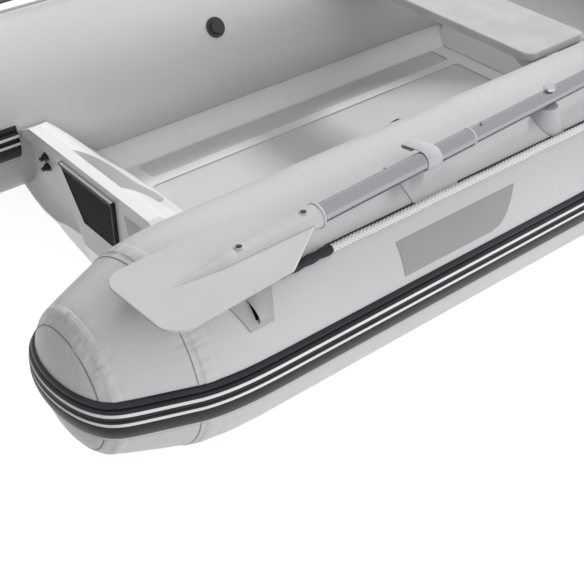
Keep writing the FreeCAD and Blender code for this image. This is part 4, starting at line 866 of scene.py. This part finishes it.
def addScrews(sideName, side):
    settings = oarSettings
    heads, rings = [], []
    for along, height in settings["screws"]:
        clearSelection()
        bpy.ops.mesh.primitive_uv_sphere_add(segments=24, ring_count=12, radius=settings["head"],
                                             location=(along, 0.0, height - settings["headSink"]))
        heads.append(bpy.context.object)
        heads[-1].scale = (1.0, 1.0, settings["headFlat"])
        applyPlace()
        clearSelection()
        bpy.ops.mesh.primitive_torus_add(major_radius=settings["seat"], minor_radius=settings["seatThick"],
                                         major_segments=36, minor_segments=10,
                                         location=(along, 0.0, height - settings["seatSink"]))
        rings.append(bpy.context.object)
        applyPlace()
    # the screw heads are near black, painted shade of the recessed screw holes
    for parts, label, finish, slotName in ((heads, "blade_screws", "darkPlastic", "pin_steel"),
                                           (rings, "blade_screw_seats", "bladePlastic", "blade_plastic")):
        piece = joinPieces(parts)
        piece.data.transform(oarMatrix(side))
        finishPiece(piece, f"{sideName}_{label}", finish, 60.0, body=f"{sideName}_oar")


def addFerrule(sideName, side):
    def pointAt(turn, along, radius):
        return Vector((along, radius * math.cos(turn), radius * math.sin(turn)))

    stations = stationsAt(pointAt, fullTurn(oarSettings["ferruleSteps"]))
    ring = sweepSection(stations, inMetres(oarSettings["ferrule"]), closed=True)
    ring.data.transform(oarMatrix(side))
    finishPiece(ring, f"{sideName}_oar_ferrule", "fittingPlastic", 50.0,
                body=f"{sideName}_oar")


for sideName, side in sides.items():
    addScrews(sideName, side)
    addFerrule(sideName, side)
print("oar fittings ready")


# Straps round the stowed oars: one run of webbing with a folded tab

strapSettings = {
    "middle": -0.490, "width": 0.038, "thickness": 0.0019, "shaftGap": 0.0208,
    # places outboard of the shaft with their lift off the tube's skin, then with their gap from the wrap
    "footRun": ((0.046, 0.0024), (0.036, 0.0024), (0.026, 0.0034)),
    "underRun": ((0.016, 0.0035), (0.008, 0.0008)),
    "overRun": ((0.012, 0.0006), (0.024, 0.0024), (0.040, 0.0052)),
    "tab": 0.036, "tabDrop": 0.0075, "fold": 0.0034, "tabReturn": ((0.016, 0.0022), (0.028, 0.0042)),
    "wrapSteps": 18, "foldSteps": 7, "edge": 0.0004, "squashTo": 0.39,
}


def shaftMiddle(side, place):
    matrix = oarMatrix(side)
    start, end = matrix @ Vector((0.0, 0.0, 0.0)), matrix @ Vector((-1.0, 0.0, 0.0))
    share = (place - start.x) / (end.x - start.x)
    return start.lerp(end, share)


def tubeTop(across):
    # height of the side tube's skin at this distance from the tube's axis
    return tube["height"] + math.sqrt(tube["radius"] ** 2 - across ** 2)


def strapLine(side):
    # from the foot on the tube under the shaft, round its outboard side and over it, to the folded tab
    settings = strapSettings
    centre = shaftMiddle(side, settings["middle"])
    reach = settings["shaftGap"]

    def skin(across):
        return tubeTop(abs(centre.y) - across - tube["offset"]) - centre.z + settings["thickness"] / 2

    points = [(across, skin(across) + lift) for across, lift in settings["footRun"]]
    points += [(across, -reach - gap) for across, gap in settings["underRun"]]
    steps = settings["wrapSteps"]
    for step in range(steps + 1):
        turn = 1.5 * math.pi - math.pi * step / steps
        points.append((reach * math.cos(turn), reach * math.sin(turn)))
    points += [(across, reach - gap) for across, gap in settings["overRun"]]
    end, top, fold = reach + settings["tab"], reach - settings["tabDrop"], settings["fold"]
    steps = settings["foldSteps"]
    for step in range(steps + 1):
        turn = math.pi / 2 - math.pi * step / steps
        points.append((end - fold + fold * math.cos(turn), top - fold + fold * math.sin(turn)))
    points += [(end - back, top - 2 * fold + lift) for back, lift in settings["tabReturn"]]
    return [Vector((0.0, side * (abs(centre.y) - across), centre.z + up)) for across, up in points]


def strapLayer(line):
    settings = strapSettings
    clearSelection()
    bpy.ops.mesh.primitive_plane_add(size=settings["width"])
    strap = bpy.context.object
    bpy.ops.object.mode_set(mode="EDIT")
    bpy.ops.mesh.select_all(action="DESELECT")
    mesh = bmesh.from_edit_mesh(strap.data)
    for vertex in mesh.verts:
        leading = vertex.co.y > 0
        spot = line[1] if leading else line[0]
        vertex.co = Vector((vertex.co.x + settings["middle"], spot.y, spot.z))
        vertex.select = leading
    mesh.select_flush(True)
    bmesh.update_edit_mesh(strap.data)
    for spot in line[2:]:
        bpy.ops.mesh.extrude_region_move()
        mesh = bmesh.from_edit_mesh(strap.data)
        for vertex in mesh.verts:
            if vertex.select:
                vertex.co.y, vertex.co.z = spot.y, spot.z
        bmesh.update_edit_mesh(strap.data)
    bpy.ops.mesh.select_all(action="SELECT")
    bpy.ops.mesh.normals_make_consistent(inside=False)
    bpy.ops.object.mode_set(mode="OBJECT")
    addModifier(strap, "SOLIDIFY", thickness=settings["thickness"], offset=0.0)
    addModifier(strap, "BEVEL", width=settings["edge"], segments=2, limit_method="ANGLE")
    return strap


def addStrap(sideName, side):
    settings = strapSettings
    strap = strapLayer(strapLine(side))
    finishPiece(strap, f"{sideName}_webbing_strap", "patchFabric", 50.0,
                (f"{sideName}_oar_strap",))
    centre = shaftMiddle(side, settings["middle"])
    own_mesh(strap)


for sideName, side in sides.items():
    addStrap(sideName, side)
print("straps ready")


# Motor pad: knurled face, and a pale strip along its top edge as a painted highlight

padSettings = {
    "face": -0.902, "rake": 0.147, "thickness": 0.0068,
    "top": 0.256, "foot": 0.100, "topHalf": 0.114, "footHalf": 0.072,
    "pitch": 0.0036, "knob": 0.0009, "knobFoot": 0.5, "knobTop": 0.12, "margin": 0.0098, "lip": 0.0062,
    # the pale strip along the top edge is a painted highlight
    "highlightWidth": 0.0078, "highlightLift": 0.0054, "highlightThick": 0.0012, "highlightInset": 0.0045,
}
padLean = math.atan(padSettings["rake"])
padRise = (padSettings["top"] - padSettings["foot"]) / math.cos(padLean)


def padPoint(across, up, lift):
    # up runs from the pad's foot along the raked face; lift points aft
    settings = padSettings
    foot = Vector((settings["face"] - settings["rake"] * (settings["foot"] - tube["height"]), across,
                   settings["foot"]))
    upward = Vector((-math.sin(padLean), 0.0, math.cos(padLean)))
    aft = Vector((-math.cos(padLean), 0.0, -math.sin(padLean)))
    return foot + upward * up + aft * lift


def addKnurl():
    settings = padSettings
    pitch, margin = settings["pitch"], settings["margin"]
    columns, rows = int(2 * settings["topHalf"] / pitch), int(padRise / pitch)
    clearSelection()
    bpy.ops.mesh.primitive_cone_add(vertices=4, radius1=pitch * settings["knobFoot"],
                                    radius2=pitch * settings["knobTop"], depth=settings["knob"],
                                    end_fill_type="NGON", location=(-columns * pitch / 2, pitch, 0))
    knurl = bpy.context.object
    applyPlace()
    for count, offset in ((columns, (pitch, 0.0, 0.0)), (rows, (0.0, pitch, 0.0))):
        addModifier(knurl, "ARRAY", count=count, use_relative_offset=False, use_constant_offset=True,
                    constant_offset_displace=offset)
    applyModifiers(knurl)
    slope = (settings["topHalf"] - settings["footHalf"]) / padRise
    edge = settings["footHalf"] - margin
    cuts = [((edge, 0, 0), (1, -slope, 0)), ((-edge, 0, 0), (-1, -slope, 0)),
            ((0, padRise - margin - settings["lip"], 0), (0, 1, 0)), ((0, margin, 0), (0, -1, 0))]
    bpy.ops.object.mode_set(mode="EDIT")
    for point, outward in cuts:
        bpy.ops.mesh.select_all(action="SELECT")
        bpy.ops.mesh.bisect(plane_co=point, plane_no=outward, clear_outer=True)
    bpy.ops.object.mode_set(mode="OBJECT")
    for vertex in knurl.data.vertices:
        across, up, height = vertex.co
        vertex.co = padPoint(across, up, settings["thickness"] + height + settings["knob"] / 2)
    finishPiece(knurl, "motor_pad_knurl", "padKnurl", 5.0)


def addPadEdgeHighlight():
    # a pale strip on the pad's top edge, standing in for the highlight along that edge
    settings = padSettings
    thick = settings["highlightThick"]
    clearSelection()
    bpy.ops.mesh.primitive_cube_add(size=1.0)
    strip = bpy.context.object
    strip.scale = (2 * (settings["topHalf"] - settings["highlightInset"]), thick, settings["highlightWidth"])
    applyPlace()
    addModifier(strip, "BEVEL", width=thick * 0.45, segments=3)
    applyModifiers(strip)
    for vertex in strip.data.vertices:
        across, up, height = vertex.co
        vertex.co = padPoint(across, padRise + thick * 0.4 + up, settings["highlightLift"] + height)
    finishPiece(strip, "motor_pad_edge_highlight", "padEdgeHighlight", 40.0)


addKnurl()
addPadEdgeHighlight()
print("motor pad ready")


# Transom bolts: a washer, a hexagon nut and the bolt's rounded end, two in each recess

boltSettings = {"places": ((0.246, 0.196), (0.252, 0.164)), "startAft": 0.2, "edge": 0.0005, "dome": 0.5,
                # corners, radius and height of each layer, from the washer up
                "layers": ((32, 0.0125, 0.002), (6, 0.0098, 0.008), (24, 0.0056, 0.0075))}


def makeBolt():
    settings = boltSettings
    base, parts = 0.0, []
    for corners, radius, tall in settings["layers"]:
        clearSelection()
        bpy.ops.mesh.primitive_cylinder_add(vertices=corners, radius=radius, depth=tall,
                                            location=(0, 0, base + tall / 2))
        parts.append(bpy.context.object)
        base += tall
    clearSelection()
    bpy.ops.mesh.primitive_uv_sphere_add(segments=24, ring_count=12, radius=radius, location=(0, 0, base))
    parts.append(bpy.context.object)
    parts[-1].scale = (1.0, 1.0, settings["dome"])
    bolt = joinPieces(parts[::-1])
    applyPlace()
    addModifier(bolt, "BEVEL", width=settings["edge"], segments=2, limit_method="ANGLE")
    applyModifiers(bolt)
    return bolt


def addBolts():
    settings = boltSettings
    parts = []
    for side in sides.values():
        for across, height in settings["places"]:
            start = Vector((padSettings["face"] - settings["startAft"], side * across, height))
            base = nodes["transom"].ray_cast(start, Vector((1.0, 0.0, 0.0)))[1]
            bolt = makeBolt()
            bolt.data.transform(Matrix.Translation(base) @ Matrix.Rotation(-math.pi / 2 - padLean, 4, "Y"))
            parts.append(bolt)
    finishPiece(joinPieces(parts), "transom_bolts", "boltBlack", 40.0)


addBolts()
print("bolts ready")


# Camera at the photograph's viewing angle

cameraSettings = {"place": (-1.9149, -1.9438, 1.5866), "target": (-0.7787, -0.5579, 0.215),
                  "lens": 69.83, "sensor": 36.0}


def addCamera(settings):
    bpy.ops.object.camera_add(location=settings["place"])
    camera = bpy.context.object
    toTarget = Vector(settings["target"]) - Vector(settings["place"])
    camera.rotation_euler = toTarget.to_track_quat("-Z", "Y").to_euler()
    camera.data.lens = settings["lens"]
    camera.data.sensor_width = settings["sensor"]
    scene.camera = camera


# Floor at the waterline, and the light

def seenByCamera(tree):
    # 1 on a ray from the camera, straight on, by gloss or through something clear, and 0 on the rest
    path = addNode(tree, "ShaderNodeLightPath").outputs
    direct = combine(tree, "MAXIMUM", path["Is Camera Ray"], path["Is Glossy Ray"])
    return combine(tree, "MAXIMUM", direct, path["Is Transmission Ray"])


plainWhite = (1.0, 1.0, 1.0)
floorSettings = {"half": 14.0, "colour": (0.8, 0.8, 0.8), "clear": 0.6, "glow": 0.72}


def addFloor(settings):
    clearSelection()
    bpy.ops.mesh.primitive_plane_add(size=2 * settings["half"], location=(0, 0, 0))
    floor = bpy.context.object
    floor.name = "floor"
    material = bpy.data.materials.new("stillWater")
    material.use_nodes = True
    tree = material.node_tree
    tree.nodes.clear()
    matt = feedNode(tree, "ShaderNodeBsdfDiffuse", settings["colour"])
    strength = combine(tree, "MULTIPLY", seenByCamera(tree), settings["glow"])
    glow = feedNode(tree, "ShaderNodeEmission", plainWhite, strength)
    lit = feedNode(tree, "ShaderNodeAddShader", matt, glow)
    clear = feedNode(tree, "ShaderNodeBsdfTransparent")
    surface = feedNode(tree, "ShaderNodeMixShader", settings["clear"], lit, clear)
    tree.links.new(surface, addNode(tree, "ShaderNodeOutputMaterial").inputs["Surface"])
    setMaterial(floor, material)


# the fill is strongest from "brightSide" and weakest from the opposite direction
worldSettings = {"fill": (0.97, 0.985, 1.0), "brightSide": (0.62, -0.68, 0.34), "spread": 0.8,
                 "weak": 0.03, "strong": 0.84}


def setWorld(settings):
    world = bpy.data.worlds.new("softRoom")
    scene.world = world
    world.use_nodes = True
    tree = world.node_tree
    tree.nodes.clear()
    direction = addNode(tree, "ShaderNodeTexCoord")
    towards = addNode(tree, "ShaderNodeVectorMath", operation="DOT_PRODUCT")
    towards.inputs[1].default_value = settings["brightSide"]
    tree.links.new(direction.outputs["Generated"], towards.inputs[0])
    spread = settings["spread"]
    strength = remap(tree, towards.outputs["Value"], -spread, spread, settings["weak"], settings["strong"])
    fill = feedNode(tree, "ShaderNodeBackground", settings["fill"], strength)
    white = feedNode(tree, "ShaderNodeBackground", plainWhite, 1.0)
    surface = feedNode(tree, "ShaderNodeMixShader", seenByCamera(tree), fill, white)
    tree.links.new(surface, addNode(tree, "ShaderNodeOutputWorld").inputs["Surface"])


lampSettings = {
    "target": (-0.75, -0.45, 0.2),
    # name, place, size, power and colour
    "lamps": (("keyLamp", (11.6, 4.6, 9.2), 2.6, 2150.0, (1.0, 0.995, 0.985)),
              ("fillLamp", (-0.4, -4.5, 0.9), 3.0, 62.0, (0.97, 0.985, 1.0)),
              ("quarterLamp", (-3.4, 2.8, 3.6), 2.2, 18.0, (1.0, 1.0, 0.99))),
}


def addLamps(settings):
    for name, place, size, power, colour in settings["lamps"]:
        bpy.ops.object.light_add(type="AREA", location=place)
        lamp = bpy.context.object
        lamp.name = name
        toTarget = Vector(settings["target"]) - Vector(place)
        lamp.rotation_euler = toTarget.to_track_quat("-Z", "Y").to_euler()
        lamp.data.size = size
        lamp.data.energy = power
        lamp.data.color = colour
        lamp.visible_glossy = False    # gloss shows the white surroundings, not the lamps


clearSelection()
addCamera(cameraSettings)
addFloor(floorSettings)
setWorld(worldSettings)
addLamps(lampSettings)
scene.view_settings.view_transform = "Standard"
print("camera, floor and light ready")
